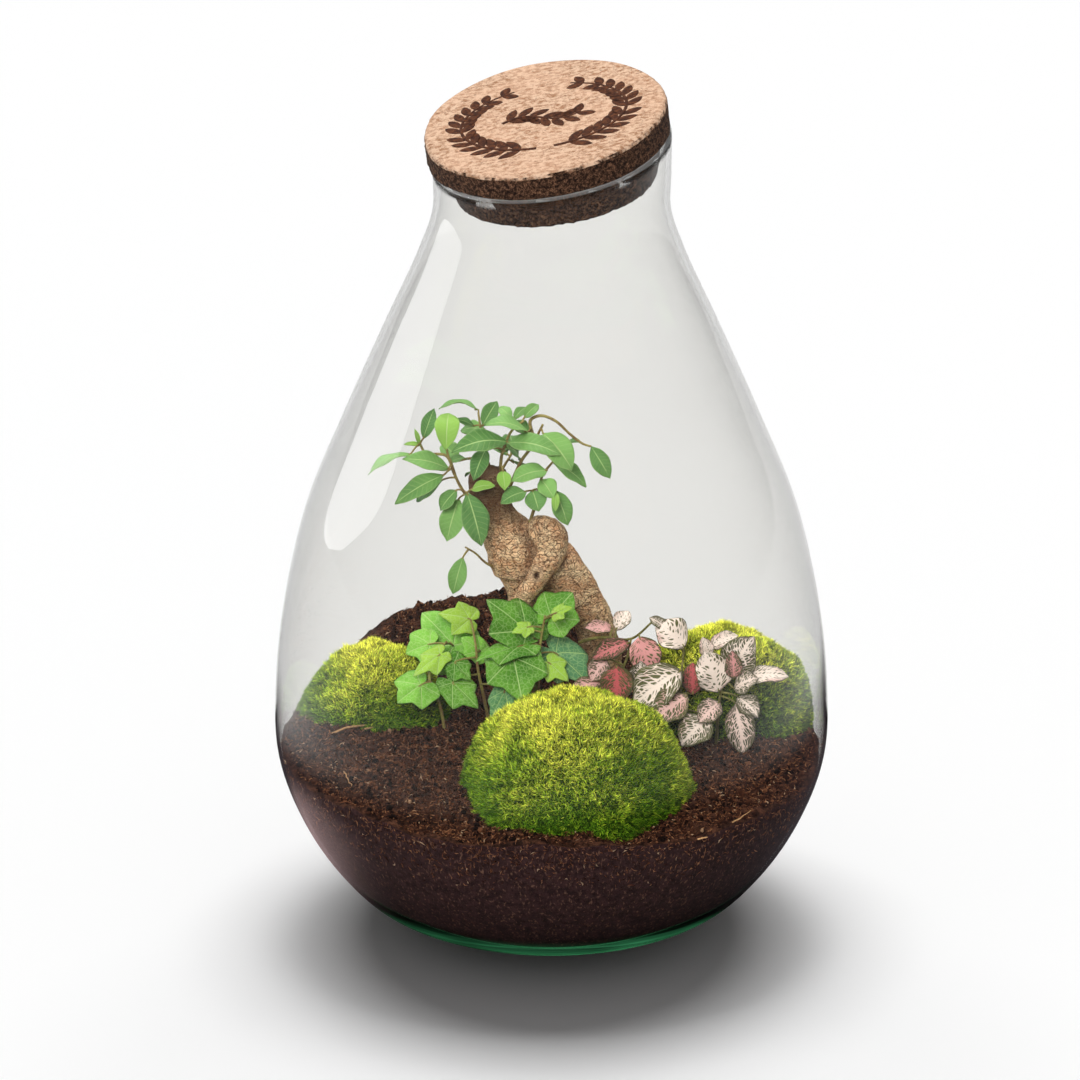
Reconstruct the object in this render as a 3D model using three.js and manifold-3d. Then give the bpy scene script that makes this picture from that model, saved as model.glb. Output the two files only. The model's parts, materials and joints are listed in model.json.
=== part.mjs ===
// A glass plant terrarium: a big-bellied glass jar with a slanted rim, a cork stopper pressed into its neck,
// and inside it potting soil, three cushions of moss, a small ficus with a swollen trunk, ivy and fittonia.
// Millimetres, +Z up. The origin is the centre of the jar's foot, where it stands. -Y is the front.
import * as THREE from "three";
import { mergeVertices } from "three/addons/utils/BufferGeometryUtils.js";
import Module from "manifold-3d";

const wasm = await Module();
wasm.setup();

// ---------------------------------------------------------------- Driving dimensions

// Outside of the jar, from the foot up to the neck: [radius, height].
const JAR_OUTSIDE = [
  [50, 0],
  [62, 4],
  [88.5, 14],
  [104.5, 30],
  [119.4, 54],
  [129.6, 84],
  [129.9, 119],
  [125.2, 158],
  [114.6, 203],
  [96.8, 247],
  [76.9, 292],
  [61, 327],
  [54.4, 347],
];
const JAR_WALL = 3;
const JAR_FLOOR = [
  [0, 10],
  [55, 10.5],
  [74, 13],
  [84.5, 17.5],
]; // inside of the thick bottom: [radius, height]
const FOOT_RING = [42, 50]; // inner and outer radius of the flat ring that the jar stands on
const FOOT_DISH = 2.5; // how far the middle of the underside is dished in
const SIDES = 36; // facets round the jar, and round what fills it
const RIM_HEIGHT = 376; // on the jar's axis
const RIM_SLOPE = [0.15, 0.165]; // rise of the rim per mm along +X and +Y
const GAP = 0.35; // air between two pieces that touch

const CORK_TOP_RADIUS = 56;
const CORK_TOP_THICKNESS = 12; // of the cap, before its top is cut at a slant
// Extra height on the axis, and per mm along X and Y.
const CORK_TOP_SLANT = { rise: 3.1, slope: [0.028, 0.05] };
const CORK_CAP_SHIFT = -1.5; // along X, from the plug's axis
const PLUG_RADII = [50.4, 46.6]; // at the rim, and at its lower end
const PLUG_LENGTH = 18;

const SOIL_LEVEL = 85;
const SOIL_FALL = 0.02; // per mm along +X
// Against the back of the glass. All but the rise are in degrees; its left side breaks off at `end`.
const SOIL_HILL = { bearing: 104, rise: 29.5, spread: [12, 32], end: [30, 46] };

const MOSS_FOOT = 68; // where each cushion's own form starts, below the soil's surface
// `lean` is how far along X the crown lies off the middle; `fullness` is 2 for a round dome and more for
// a broad one.
const MOSS_CUSHIONS = {
  moss_front: { centre: [10, -69], half: [53, 48], top: 135, lean: 2, phase: 0.4, fullness: 2.5 },
  moss_left: { centre: [-87, 36], half: [38, 35], top: 120, lean: 5, phase: 2.1, fullness: 2 },
  moss_right: { centre: [87, 38], half: [46, 37], top: 125.5, lean: -14, phase: 4.0, fullness: 3 },
};

const BLADE_THICKNESS = 1.2; // along the midrib; the edges are thin
const LOBED_THICKNESS = 0.8; // all over
const TWIG_RADIUS = 0.9;
const STALK_WIDTH = 1;
const FOLD = 0.22; // rise of a blade's edges over its midrib, as a share of its half width
const FACING = 40; // how far a blade's upper face leans to the front, in degrees, where none is given

// A blade's outline: [share of its length, share of its half width].
const FICUS_OUTLINE = [
  [0, 0.12],
  [0.22, 0.72],
  [0.5, 1],
  [0.8, 0.66],
  [1, 0],
];
const FITTONIA_OUTLINE = [
  [0, 0.16],
  [0.26, 0.9],
  [0.66, 0.88],
  [1, 0],
];
// An ivy leaf's outline round the end of its stalk: [degrees from its tip, share of its length].
const IVY_OUTLINE = [
  [0, 1],
  [26, 0.7],
  [50, 0.86],
  [80, 0.6],
  [114, 0.62],
  [150, 0.4],
  [180, 0.16],
];

const COLOURS = {
  glass: { color: 0xdfe9e4, roughness: 0.05, metalness: 0, transparent: true, opacity: 0.35 },
  cork: { color: 0xd2a57c, roughness: 0.9, metalness: 0 },
  soil: { color: 0x38261f, roughness: 1, metalness: 0 },
  moss: { color: 0x6f8f2f, roughness: 1, metalness: 0 },
  bark: { color: 0xb48a68, roughness: 0.85, metalness: 0 },
  ficus: { color: 0x5f8a4d, roughness: 0.45, metalness: 0 },
  ivy: { color: 0x6fa544, roughness: 0.55, metalness: 0 },
  fittonia: { color: 0x7c9a62, roughness: 0.6, metalness: 0 },
};

// ---------------------------------------------------------------- Solids

const vector = ([x, y, z]) => new THREE.Vector3(x, y, z);
const mix = (a, b, t) => a + (b - a) * t;

// The closed solid of a geometry, with its faces turned outwards.
function solid(geometry) {
  geometry.deleteAttribute("normal");
  geometry.deleteAttribute("uv");
  const merged = mergeVertices(geometry, 1e-4);
  const corners = merged.index.array;
  const points = merged.attributes.position;
  const triangles = [];
  const [a, b, c] = [new THREE.Vector3(), new THREE.Vector3(), new THREE.Vector3()];
  let volume = 0;
  for (let i = 0; i < corners.length; i += 3) {
    const [p, q, r] = corners.slice(i, i + 3);
    if (p === q || q === r || r === p) continue;
    triangles.push([p, q, r]);
    volume += a.fromBufferAttribute(points, p).dot(
      b.fromBufferAttribute(points, q).cross(c.fromBufferAttribute(points, r)),
    );
  }
  const outward = volume > 0 ? triangles : triangles.map(([p, q, r]) => [p, r, q]);
  return new wasm.Manifold(
    new wasm.Mesh({
      numProp: 3,
      vertProperties: points.array,
      triVerts: Uint32Array.from(outward.flat()),
    }),
  );
}

// A solid from points and triangles of their numbers.
function facets(points, triangles) {
  const geometry = new THREE.BufferGeometry().setFromPoints(points);
  geometry.setIndex(triangles.flat());
  return solid(geometry);
}

// A solid skinned over closed rings of equally many points, with a flat lid on each end.
function skinned(rings) {
  const count = rings[0].length;
  const triangles = [];
  for (let i = 0; i + 1 < rings.length; i++)
    for (let k = 0; k < count; k++) {
      const [a, b] = [i * count + k, i * count + ((k + 1) % count)];
      triangles.push([a, b, b + count], [a, b + count, a + count]);
    }
  const last = (rings.length - 1) * count;
  for (let k = 1; k + 1 < count; k++)
    triangles.push([0, k + 1, k], [last, last + k, last + k + 1]);
  return facets(rings.flat(), triangles);
}

// A solid turned round the vertical axis from [radius, height] points that start and end on it.
function turned(profile, sides = SIDES) {
  const outline = profile.map(([radius, height]) => new THREE.Vector2(radius, height));
  return new THREE.LatheGeometry(outline, sides).rotateX(Math.PI / 2);
}

// A tapered round limb along smooth points; `extra` widens and lengthens it all round.
function limb(points, radii, { sides = 4, steps = points.length + 2, extra = 0 } = {}) {
  const curve = new THREE.CatmullRomCurve3(points.map(vector));
  const rings = [];
  let side = new THREE.Vector3(0.31, 0.87, 0.12);
  for (let i = 0; i <= steps; i++) {
    const t = i / steps;
    const centre = curve.getPoint(t);
    const along = curve.getTangent(t);
    if (i === 0 || i === steps) centre.addScaledVector(along, i === 0 ? -extra : extra);
    side = side.clone().projectOnPlane(along).normalize();
    const other = new THREE.Vector3().crossVectors(along, side);
    const place = t * (radii.length - 1);
    const lower = Math.min(Math.floor(place), radii.length - 2);
    const radius = mix(radii[lower], radii[lower + 1], place - lower) + extra;
    rings.push(
      Array.from({ length: sides }, (_, k) => {
        const turn = (2 * Math.PI * k) / sides;
        return centre
          .clone()
          .addScaledVector(side, radius * Math.cos(turn))
          .addScaledVector(other, radius * Math.sin(turn));
      }),
    );
  }
  return skinned(rings);
}

const joined = (pieces) => pieces.reduce((whole, piece) => whole.add(piece));
const cutBy = (whole, pieces) => pieces.reduce((rest, piece) => rest.subtract(piece), whole);

// The named mesh of a solid, in one of the colours above.
function pieceOf(name, made, colour) {
  const { vertProperties, triVerts } = made.getMesh();
  const geometry = new THREE.BufferGeometry();
  geometry.setAttribute("position", new THREE.BufferAttribute(new Float32Array(vertProperties), 3));
  geometry.setIndex(Array.from(triVerts));
  geometry.computeVertexNormals();
  const mesh = new THREE.Mesh(geometry, new THREE.MeshStandardMaterial(COLOURS[colour]));
  mesh.name = name;
  return mesh;
}

// ---------------------------------------------------------------- Jar

// The inside of the jar's wall lies one wall thickness in, square to the outside.
const JAR_INSIDE = JAR_OUTSIDE.slice(3).map(([radius, height], i, above) => {
  const [r0, z0] = above[Math.max(i - 1, 0)];
  const [r1, z1] = above[Math.min(i + 1, above.length - 1)];
  return [radius - JAR_WALL * Math.hypot(1, (r1 - r0) / (z1 - z0)), height];
});
const NECK_RADIUS = JAR_OUTSIDE.at(-1)[0];
const NECK_INSIDE = NECK_RADIUS - JAR_WALL;
const ABOVE_RIM = RIM_HEIGHT + 20;
const CAVITY = [...JAR_FLOOR, ...JAR_INSIDE.slice(0, -1), [NECK_INSIDE, JAR_OUTSIDE.at(-1)[1]]];

// Radius of the inside of the jar at a height, along its facets.
function insideRadius(height) {
  const upper = Math.max(1, CAVITY.findIndex(([, z]) => z >= height));
  const [[r0, z0], [r1, z1]] = [CAVITY[upper - 1], CAVITY[upper]];
  return mix(r0, r1, (height - z0) / (z1 - z0));
}

// Where the slanted rim lies: its plane, with +Z square to it.
const rimUp = new THREE.Vector3(-RIM_SLOPE[0], -RIM_SLOPE[1], 1).normalize();
const rimTurn = new THREE.Quaternion().setFromUnitVectors(new THREE.Vector3(0, 0, 1), rimUp);

function glassJar() {
  const wall = solid(
    turned([
      [0, FOOT_DISH],
      [FOOT_RING[0] - 3, FOOT_DISH],
      [FOOT_RING[0], 0],
      ...JAR_OUTSIDE,
      [NECK_RADIUS, ABOVE_RIM],
      [NECK_INSIDE, ABOVE_RIM],
      ...CAVITY.toReversed(),
    ]),
  );
  const above = new THREE.BoxGeometry(160, 160, 60).translate(0, 0, 30);
  above.applyQuaternion(rimTurn).translate(0, 0, RIM_HEIGHT);
  return wall.subtract(solid(above));
}

// The space inside the jar, a gap clear of the glass.
function cavity() {
  const filled = CAVITY.map(([radius, height]) => [Math.max(radius - GAP * 1.6, 0), height + GAP]);
  return solid(turned([...filled, [0, CAVITY.at(-1)[1] + GAP]]));
}

// ---------------------------------------------------------------- Cork stopper

// Broad cap with a slanted top, and tapered plug, a little out of round, with a worn lower edge. Its own
// origin is on the rim's plane.
function corkStopper() {
  const [plugTop, plugEnd] = PLUG_RADII;
  const top = CORK_TOP_THICKNESS + GAP;
  const geometry = turned([
    [0, -PLUG_LENGTH],
    [plugEnd - 1.4, -PLUG_LENGTH],
    [plugEnd, 1.6 - PLUG_LENGTH],
    [plugTop, GAP],
    [CORK_TOP_RADIUS - 0.9, GAP],
    [CORK_TOP_RADIUS, GAP + 1.2],
    [CORK_TOP_RADIUS, top - 1.4],
    [CORK_TOP_RADIUS - 1.3, top],
    [0, top],
  ]);
  const at = geometry.attributes.position;
  for (let i = 0; i < at.count; i++) {
    const [x, y, z] = [at.getX(i), at.getY(i), at.getZ(i)];
    const turn = Math.atan2(y, x);
    const worn = 1 + 0.006 * Math.sin(3 * turn + 0.11 * z) + 0.004 * Math.sin(7 * turn + 1.7);
    const ragged = z < -PLUG_LENGTH + 2 ? 0.3 * Math.sin(5 * turn) + 0.2 * Math.sin(11 * turn) : 0;
    const slant = CORK_TOP_SLANT.rise + CORK_TOP_SLANT.slope[0] * x + CORK_TOP_SLANT.slope[1] * y;
    const lift = (Math.max(z - GAP, 0) / CORK_TOP_THICKNESS) * slant;
    const shift = z > GAP || Math.hypot(x, y) > plugTop + 1 ? CORK_CAP_SHIFT : 0;
    at.setXYZ(i, x * worn + shift, y * worn, z + lift + (Math.hypot(x, y) > 1 ? ragged : 0));
  }
  return solid(geometry);
}

// ---------------------------------------------------------------- Soil and moss

const degrees = THREE.MathUtils.radToDeg;
const radians = THREE.MathUtils.degToRad;

// Height of the soil: nearly level, lower to the right, and heaped against the glass at the back left.
function soilHeight(x, y) {
  const reach = Math.hypot(x, y);
  const off = degrees(Math.atan2(y, x)) - SOIL_HILL.bearing;
  const turn = ((off + 540) % 360) - 180;
  const spread = SOIL_HILL.spread[turn < 0 ? 0 : 1];
  const slope = THREE.MathUtils.smoothstep(reach, 68, 126);
  const whole = 1 - THREE.MathUtils.smoothstep(turn, ...SOIL_HILL.end);
  const hill = SOIL_HILL.rise * Math.exp(-0.5 * (turn / spread) ** 2) * slope * whole;
  const waves = 2 * Math.sin(0.061 * x + 1.3) * Math.cos(0.052 * y - 0.4);
  const crumbs = 1.1 * Math.sin(0.19 * x - 0.08 * y + 2) * Math.sin(0.16 * y + 0.7);
  return SOIL_LEVEL - SOIL_FALL * x + hill + waves + crumbs;
}

// A point at a bearing on a polar grid that lines up with the jar's facets.
function polar(column, radius, height) {
  const turn = (2 * Math.PI * column) / SIDES;
  return new THREE.Vector3(radius * Math.sin(turn), -radius * Math.cos(turn), height);
}

function soilBody() {
  const shares = [0.94, 0.85, 0.74, 0.6, 0.44, 0.28, 0.12];
  const rows = [];
  const below = CAVITY.filter(([, z]) => z < 60).slice(1);
  const wall = (height) => insideRadius(height) - GAP * 1.3;
  for (const [radius, height] of below)
    rows.push(Array.from({ length: SIDES }, (_, k) => polar(k, radius - GAP, height + GAP)));
  const edge = Array.from({ length: SIDES }, (_, k) => {
    const spot = polar(k, wall(SOIL_LEVEL), 0);
    return soilHeight(spot.x, spot.y);
  });
  const shoulder = JAR_OUTSIDE[5][1];
  rows.push(edge.map((z, k) => polar(k, wall(Math.min(shoulder, z - 2)), Math.min(shoulder, z - 2))));
  rows.push(edge.map((z, k) => polar(k, wall(z), z)));
  for (const share of shares)
    rows.push(
      edge.map((z, k) => {
        const spot = polar(k, wall(z) * share, 0);
        return spot.setZ(soilHeight(spot.x, spot.y));
      }),
    );
  return skinned(rows);
}

// The largest of the bodies that a cut leaves.
const largestOf = (cut) =>
  cut.decompose().reduce((best, body) => (body.volume() > best.volume() ? body : best));

// A cushion of moss: a lumpy dome on the soil that is pressed flat where it reaches the glass.
function mossCushion({ centre, half, top, lean, phase, fullness }, soil, space) {
  const columns = 22;
  const rounds = [1, 0.96, 0.86, 0.7, 0.5, 0.3, 0.1];
  const rings = rounds.map((share) =>
    Array.from({ length: columns }, (_, k) => {
      const turn = (2 * Math.PI * k) / columns;
      const lobes = 1 + 0.05 * Math.sin(3 * turn + phase) + 0.035 * Math.sin(5 * turn + 2 * phase);
      const x = centre[0] + lean * (1 - share) + half[0] * share * lobes * Math.cos(turn);
      const y = centre[1] + half[1] * share * lobes * Math.sin(turn);
      const lumps = 2.2 * Math.sin(0.16 * x + phase) * Math.sin(0.18 * y - phase) * (1 - share ** 6);
      const rise = Math.sqrt(1 - share ** fullness);
      return new THREE.Vector3(x, y, mix(MOSS_FOOT, top, rise) + lumps);
    }),
  );
  const raised = soil.translate([0, 0, GAP * 1.15]);
  return largestOf(skinned(rings).intersect(space).subtract(raised));
}

// ---------------------------------------------------------------- Leaves

// The directions of a leaf: along it, across it and square to its face, which leans to the front.
function leafFrame(base, tip, facing) {
  const along = tip.clone().sub(base);
  const length = along.length();
  along.normalize();
  const face = new THREE.Vector3(0, -Math.sin(radians(facing)), Math.cos(radians(facing)));
  const across = new THREE.Vector3().crossVectors(along, face).normalize();
  return { along, across, normal: new THREE.Vector3().crossVectors(across, along), length };
}

// The direction of `towards`, turned square to `direction`.
const squareTo = (direction, towards) => towards.clone().projectOnPlane(direction).normalize();

// A thin blade, thickest at its midrib, folded along it and arched to its tip, with its stalk from `root`.
function blade({ root, stalk, base, tip, width, facing, arch }, outline) {
  const { along, across, normal, length } = leafFrame(base, tip, facing);
  const section = (centre, direction, half, thickness) => {
    const side = squareTo(direction, across);
    const up = new THREE.Vector3().crossVectors(side, direction);
    const at = (sideways, rise) =>
      centre.clone().addScaledVector(side, sideways).addScaledVector(up, rise);
    const edge = FOLD * half;
    return [at(-half, edge), at(0, thickness / 2), at(half, edge), at(0, -thickness / 2)];
  };
  const bend = along.clone().add(stalk).normalize();
  const stations = outline.flatMap(([share, wide]) => {
    const lift = arch * length * Math.sin(Math.PI * share);
    const centre = base.clone().addScaledVector(along, share * length).addScaledVector(normal, lift);
    return section(centre, share ? along : bend, (wide * width) / 2, BLADE_THICKNESS);
  });
  const points = [...section(root, stalk, STALK_WIDTH / 2, STALK_WIDTH), ...stations];
  const ring = 4;
  const triangles = [
    [0, 1, 3],
    [1, 2, 3],
  ];
  for (let i = 0; i < outline.length; i++)
    for (let k = 0; k < ring; k++) {
      const [a, b] = [i * ring + k, i * ring + ((k + 1) % ring)];
      const upper = k < 2;
      if (upper) triangles.push([a, b + ring, b], [a, a + ring, b + ring]);
      else triangles.push([a, a + ring, b], [b, a + ring, b + ring]);
    }
  return facets(points, triangles);
}

// A lobed ivy blade, fanned from the end of its stalk, its lobes bent down a little.
function lobedBlade({ root, base, tip, width, facing, arch }) {
  const { along, across, normal, length } = leafFrame(base, tip, facing);
  const mirrored = IVY_OUTLINE.slice(1, -1).map(([turn, share]) => [360 - turn, share]);
  const outline = [...IVY_OUTLINE, ...mirrored.toReversed()];
  const widest = Math.max(...IVY_OUTLINE.map(([turn, share]) => share * Math.sin(radians(turn))));
  const spread = width / 2 / widest;
  const face = (side) => {
    const lift = (side * LOBED_THICKNESS) / 2;
    const rim = outline.map(([turn, share]) => {
      const [forward, sideways] = [share * Math.cos(radians(turn)), share * Math.sin(radians(turn))];
      return base
        .clone()
        .addScaledVector(along, forward * length)
        .addScaledVector(across, sideways * spread)
        .addScaledVector(normal, lift - arch * length * share ** 2);
    });
    return [base.clone().addScaledVector(normal, lift), ...rim];
  };
  const points = [...face(1), ...face(-1)];
  const count = outline.length;
  const under = count + 1;
  const triangles = [];
  for (let k = 0; k < count; k++) {
    const [a, b] = [1 + k, 1 + ((k + 1) % count)];
    triangles.push([0, a, b], [under, under + b, under + a]);
    triangles.push([a, under + a, b], [b, under + a, under + b]);
  }
  const heel = base.clone().addScaledVector(along, 0.08 * length);
  const stalk = limb([root.toArray(), heel.toArray()], [STALK_WIDTH / 2, STALK_WIDTH / 2], {
    sides: 3,
    steps: 1,
  });
  return facets(points, triangles).add(stalk);
}

// The point of a stem that is nearest to a leaf's base.
function nearestOn(stems, base) {
  const spots = stems.flatMap((points) =>
    new THREE.CatmullRomCurve3(points.map(vector)).getPoints(24).slice(1, -1),
  );
  return spots.reduce((best, spot) => (spot.distanceTo(base) < best.distanceTo(base) ? spot : best));
}

// One leaf with its stalk, rooted in the middle of the nearest stem.
// A row is [base x, y, z, tip x, y, z, width] and, where they differ, how far it faces forward and its arch.
function leafOn(stems, row, kind) {
  const [bx, by, bz, tx, ty, tz, width, facing = FACING, arch = kind.arch] = row;
  const [base, tip] = [vector([bx, by, bz]), vector([tx, ty, tz])];
  const spot = nearestOn(stems, base);
  const apart = spot.distanceTo(base);
  const stalk = (apart > TWIG_RADIUS ? base.clone().sub(spot) : tip.clone().sub(base)).normalize();
  const root = spot.clone().addScaledVector(stalk, -TWIG_RADIUS / 2);
  const leaf = { root, stalk, base, tip, width, facing, arch };
  return kind.outline ? blade(leaf, kind.outline) : lobedBlade(leaf);
}

// A leafy stem: its twigs, thinner to their ends, with their leaves.
function leafyStem({ stems, leaves, thick = TWIG_RADIUS }, kind) {
  const twigs = stems.map((points) => limb(points, [thick, thick * 0.6]));
  return joined([...twigs, ...leaves.map((row) => leafOn(stems, row, kind))]);
}

// The plain hole that the root of a stem stands in.
const socket = ({ stems, thick = TWIG_RADIUS }) =>
  limb(stems[0], [thick, thick * 0.6], { extra: GAP * 1.2 });

const FICUS_LEAF = { outline: FICUS_OUTLINE, arch: 0.1 };
const IVY_LEAF = { arch: 0.14 };
const FITTONIA_LEAF = { outline: FITTONIA_OUTLINE, arch: 0.08 };

// ---------------------------------------------------------------- Ficus

// The swollen trunk: a cut stump, a bulb, a knobbly root curled over its front, and two legs in the soil.
const TRUNK_LIMBS = [
  {
    points: [
      [-30.5, 50, 203],
      [-29.5, 50, 190],
      [-24.5, 50, 177],
      [-17, 50, 165],
      [-12.5, 50, 154],
      [-12.5, 49, 143],
      [-13, 48, 128],
      [-14, 48, 108],
      [-15, 48, 76],
    ],
    radii: [9.2, 9.6, 10.2, 15.5, 15, 9, 7.6, 8, 10],
  },
  {
    points: [
      [-8, 50, 166],
      [2, 50, 156],
      [12, 50, 143],
      [20, 50, 128],
      [24, 50, 110],
      [27, 50, 76],
    ],
    radii: [12.2, 12, 10.2, 9.4, 9.6, 10.6],
  },
  {
    points: [
      [-8, 46, 172],
      [-1.2, 43, 172],
      [-0.6, 40, 165],
      [-6.4, 34, 157],
      [-12.5, 31, 148],
      [-17, 30, 141],
    ],
    radii: [9.2, 9.8, 8.4, 6.2, 4.8, 3.4],
  },
];

const FICUS_SPRAYS = {
  ficus_spray_left: {
    stems: [
      [
        [-35, 50, 185],
        [-42, 48, 194],
        [-46, 46, 203],
        [-49, 44, 213],
        [-50, 43, 218],
      ],
      [
        [-46, 46, 203],
        [-50, 50, 211],
        [-60, 49, 213],
        [-63, 48, 219],
      ],
    ],
    leaves: [
      [-67, 41, 215, -87, 32, 209, 9, 0],
      [-49, 43, 207, -70, 36, 215, 10],
      [-51, 40, 205, -74, 29, 195, 10, 50],
      [-52, 50, 199, -65, 54, 187, 8],
      [-50, 42, 217, -49, 56, 231, 12, 40, 0.3],
      [-61, 50, 220, -56, 56, 233, 7, 60],
      [-48, 49, 208, -40, 56, 208, 8, 0],
      [-63, 48, 218, -65, 46, 226, 2.4],
      [-62, 48, 217, -70, 45, 219, 2.4],
    ],
  },
  ficus_spray_top: {
    stems: [
      [
        [-28, 55, 193],
        [-30, 58, 204],
        [-33, 60, 212],
        [-34, 62, 221],
        [-35, 64, 228],
      ],
      [
        [-30, 58, 204],
        [-38, 61, 206],
        [-45, 63, 204],
      ],
    ],
    leaves: [
      [-35, 65, 229, -54, 64, 231, 9, -5, 0.16],
      [-37, 62, 222, -46, 61, 226, 4],
      [-33, 62, 222, -26, 70, 232, 8, 60],
      [-32, 66, 219, -44, 74, 216, 8],
      [-45, 63, 205, -53, 72, 210, 9],
    ],
  },
  ficus_spray_centre: {
    stems: [
      [
        [-24, 50, 193],
        [-24, 50, 209],
        [-22, 49, 217],
        [-19, 51, 223],
        [-13, 52, 228],
      ],
    ],
    leaves: [
      [-21, 47, 219, -47, 35, 219, 13, 35, 0.13],
      [-21, 46, 219, 4, 37, 217, 12, 30, 0.1],
      [-19, 54, 228, -25, 61, 232, 6],
      [-18, 54, 228, -12, 61, 232, 5],
      [-13, 53, 229, -6, 59, 234, 6],
      [-23, 43, 206, -22, 36, 199, 7],
      [-31, 46, 216, -37, 36, 204, 9],
      [-22, 54, 212, -23, 67, 208, 9],
      [-22, 55, 214, -15, 66, 204, 10],
    ],
  },
  ficus_spray_right: {
    stems: [
      [
        [-20, 54, 194],
        [-14, 53, 208],
        [-10, 52, 214],
        [-7, 52, 220],
        [-4, 52, 226],
      ],
      [
        [-8, 52, 218],
        [-10, 55, 227],
        [-5, 56, 229],
        [2, 54, 227],
        [9, 52, 221],
        [15, 50, 217],
        [19, 49, 216],
      ],
    ],
    leaves: [
      [19, 49, 216, 28, 44, 202, 9, 70],
      [14, 50, 218, 8, 55, 217, 3],
      [-4, 48, 223, 10, 39, 208, 14, 45, 0.14],
      [-11, 47, 224, -31, 40, 231, 12, 15],
      [-10, 57, 219, -19, 64, 224, 7],
      [-9, 57, 214, 4, 66, 211, 9],
    ],
  },
  ficus_spray_low_right: {
    stems: [
      [
        [-12, 49, 172],
        [-8, 48, 186],
        [-6, 48, 195],
        [-4, 49, 202],
        [1, 51, 208],
      ],
      [
        [-5, 48, 199],
        [-1, 46, 199],
        [2, 44, 196],
      ],
    ],
    leaves: [
      [-2, 46, 205, -19, 38, 203, 11, 30],
      [1, 52, 207, 17, 50, 196, 9, 30],
      [-5, 45, 201, 1, 39, 194, 10],
      [2, 42, 196, 2, 37, 188, 4, 60],
      [-9, 43, 196, -6, 37, 188, 11],
      [-12, 42, 196, -24, 35, 193, 9],
      [2, 46, 195, 8, 42, 179, 10, 60],
    ],
  },
  ficus_spray_low_left: {
    stems: [
      [
        [-34, 45, 187],
        [-39, 41, 194],
        [-43, 40, 198],
      ],
    ],
    leaves: [
      [-40, 37, 197, -33, 30, 173, 13.5],
      [-44, 43, 192, -50, 39, 172, 12, 50],
      [-45, 41, 197, -53, 38, 188, 8],
      [-38, 39, 198, -27, 34, 202, 6],
    ],
  },
  ficus_spray_back: {
    stems: [
      [
        [-27, 56, 190],
        [-24, 65, 198],
        [-19, 74, 204],
      ],
    ],
    leaves: [
      [-18, 75, 205, -4, 88, 200, 11, 0],
      [-21, 73, 204, -36, 88, 203, 11, 0],
      [-19, 71, 201, -10, 84, 189, 10, 0],
      [-19, 76, 205, -20, 92, 208, 9, 0],
      [-26, 67, 198, -42, 76, 193, 10, 0],
    ],
  },
  ficus_shoot_side: {
    stems: [
      [
        [-23, 45, 155],
        [-31, 41, 160],
        [-36, 38, 166],
        [-41, 36, 170],
      ],
    ],
    leaves: [[-42, 36, 165, -47, 34, 147, 9, 55]],
    thick: 0.7,
  },
};

const trunkLimb = (points, radii, extra = 0) =>
  limb(points, radii, { sides: 10, steps: points.length * 2 - 2, extra });

function ficusTrunk() {
  const limbs = TRUNK_LIMBS.map(({ points, radii }) => trunkLimb(points, radii));
  return cutBy(joined(limbs), Object.values(FICUS_SPRAYS).map(socket));
}

// ---------------------------------------------------------------- Ivy and fittonia

const IVY_STEMS = {
  ivy_left: {
    stems: [
      [
        [-50, 17, 74],
        [-53, 14, 97],
        [-58, 14, 112],
        [-55, 20, 121],
        [-50, 30, 124],
      ],
    ],
    leaves: [
      [-58, 32, 122, -70, 28, 120, 19],
      [-53, 18, 122, -65, 10, 116, 15],
      [-62, 11, 109, -73, 2, 105, 20],
      [-47, 38, 119, -62, 46, 135, 29],
    ],
  },
  ivy_middle: {
    stems: [
      [
        [-28, 24, 74],
        [-32, 22, 97],
        [-35, 22, 113],
        [-36, 24, 124],
        [-38, 36, 131],
      ],
    ],
    leaves: [
      [-47, 14, 109, -35, 4, 102, 17],
      [-39, 42, 131, -53, 40, 136, 20],
      [-22, 4, 109, -29, -4, 98, 12],
      [-46, 18, 118, -38, 12, 112, 12],
      [-34, 28, 120, -42, 28, 127, 13],
    ],
  },
  ivy_right: {
    stems: [
      [
        [-9, 18, 74],
        [-8, 15, 99],
        [-6, 15, 117],
        [-5, 16, 130],
        [-3, 18, 142],
      ],
    ],
    leaves: [
      [-12, 16, 135, -29, 16, 152, 24],
      [-15, 11, 129, -37, 5, 127, 12, 20],
      [-18, 9, 124, -14, -5, 110, 30],
      [0, 21, 140, 9, 25, 151, 24],
      [2, 13, 145, 9, 10, 150, 9],
      [-11, 13, 138, -18, 8, 138, 10],
      [-1, 12, 120, 8, 7, 114, 16],
      [2, 20, 122, 18, 11, 112, 22],
      [-15, 6, 107, -10, -3, 103, 10],
    ],
  },
};

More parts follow.
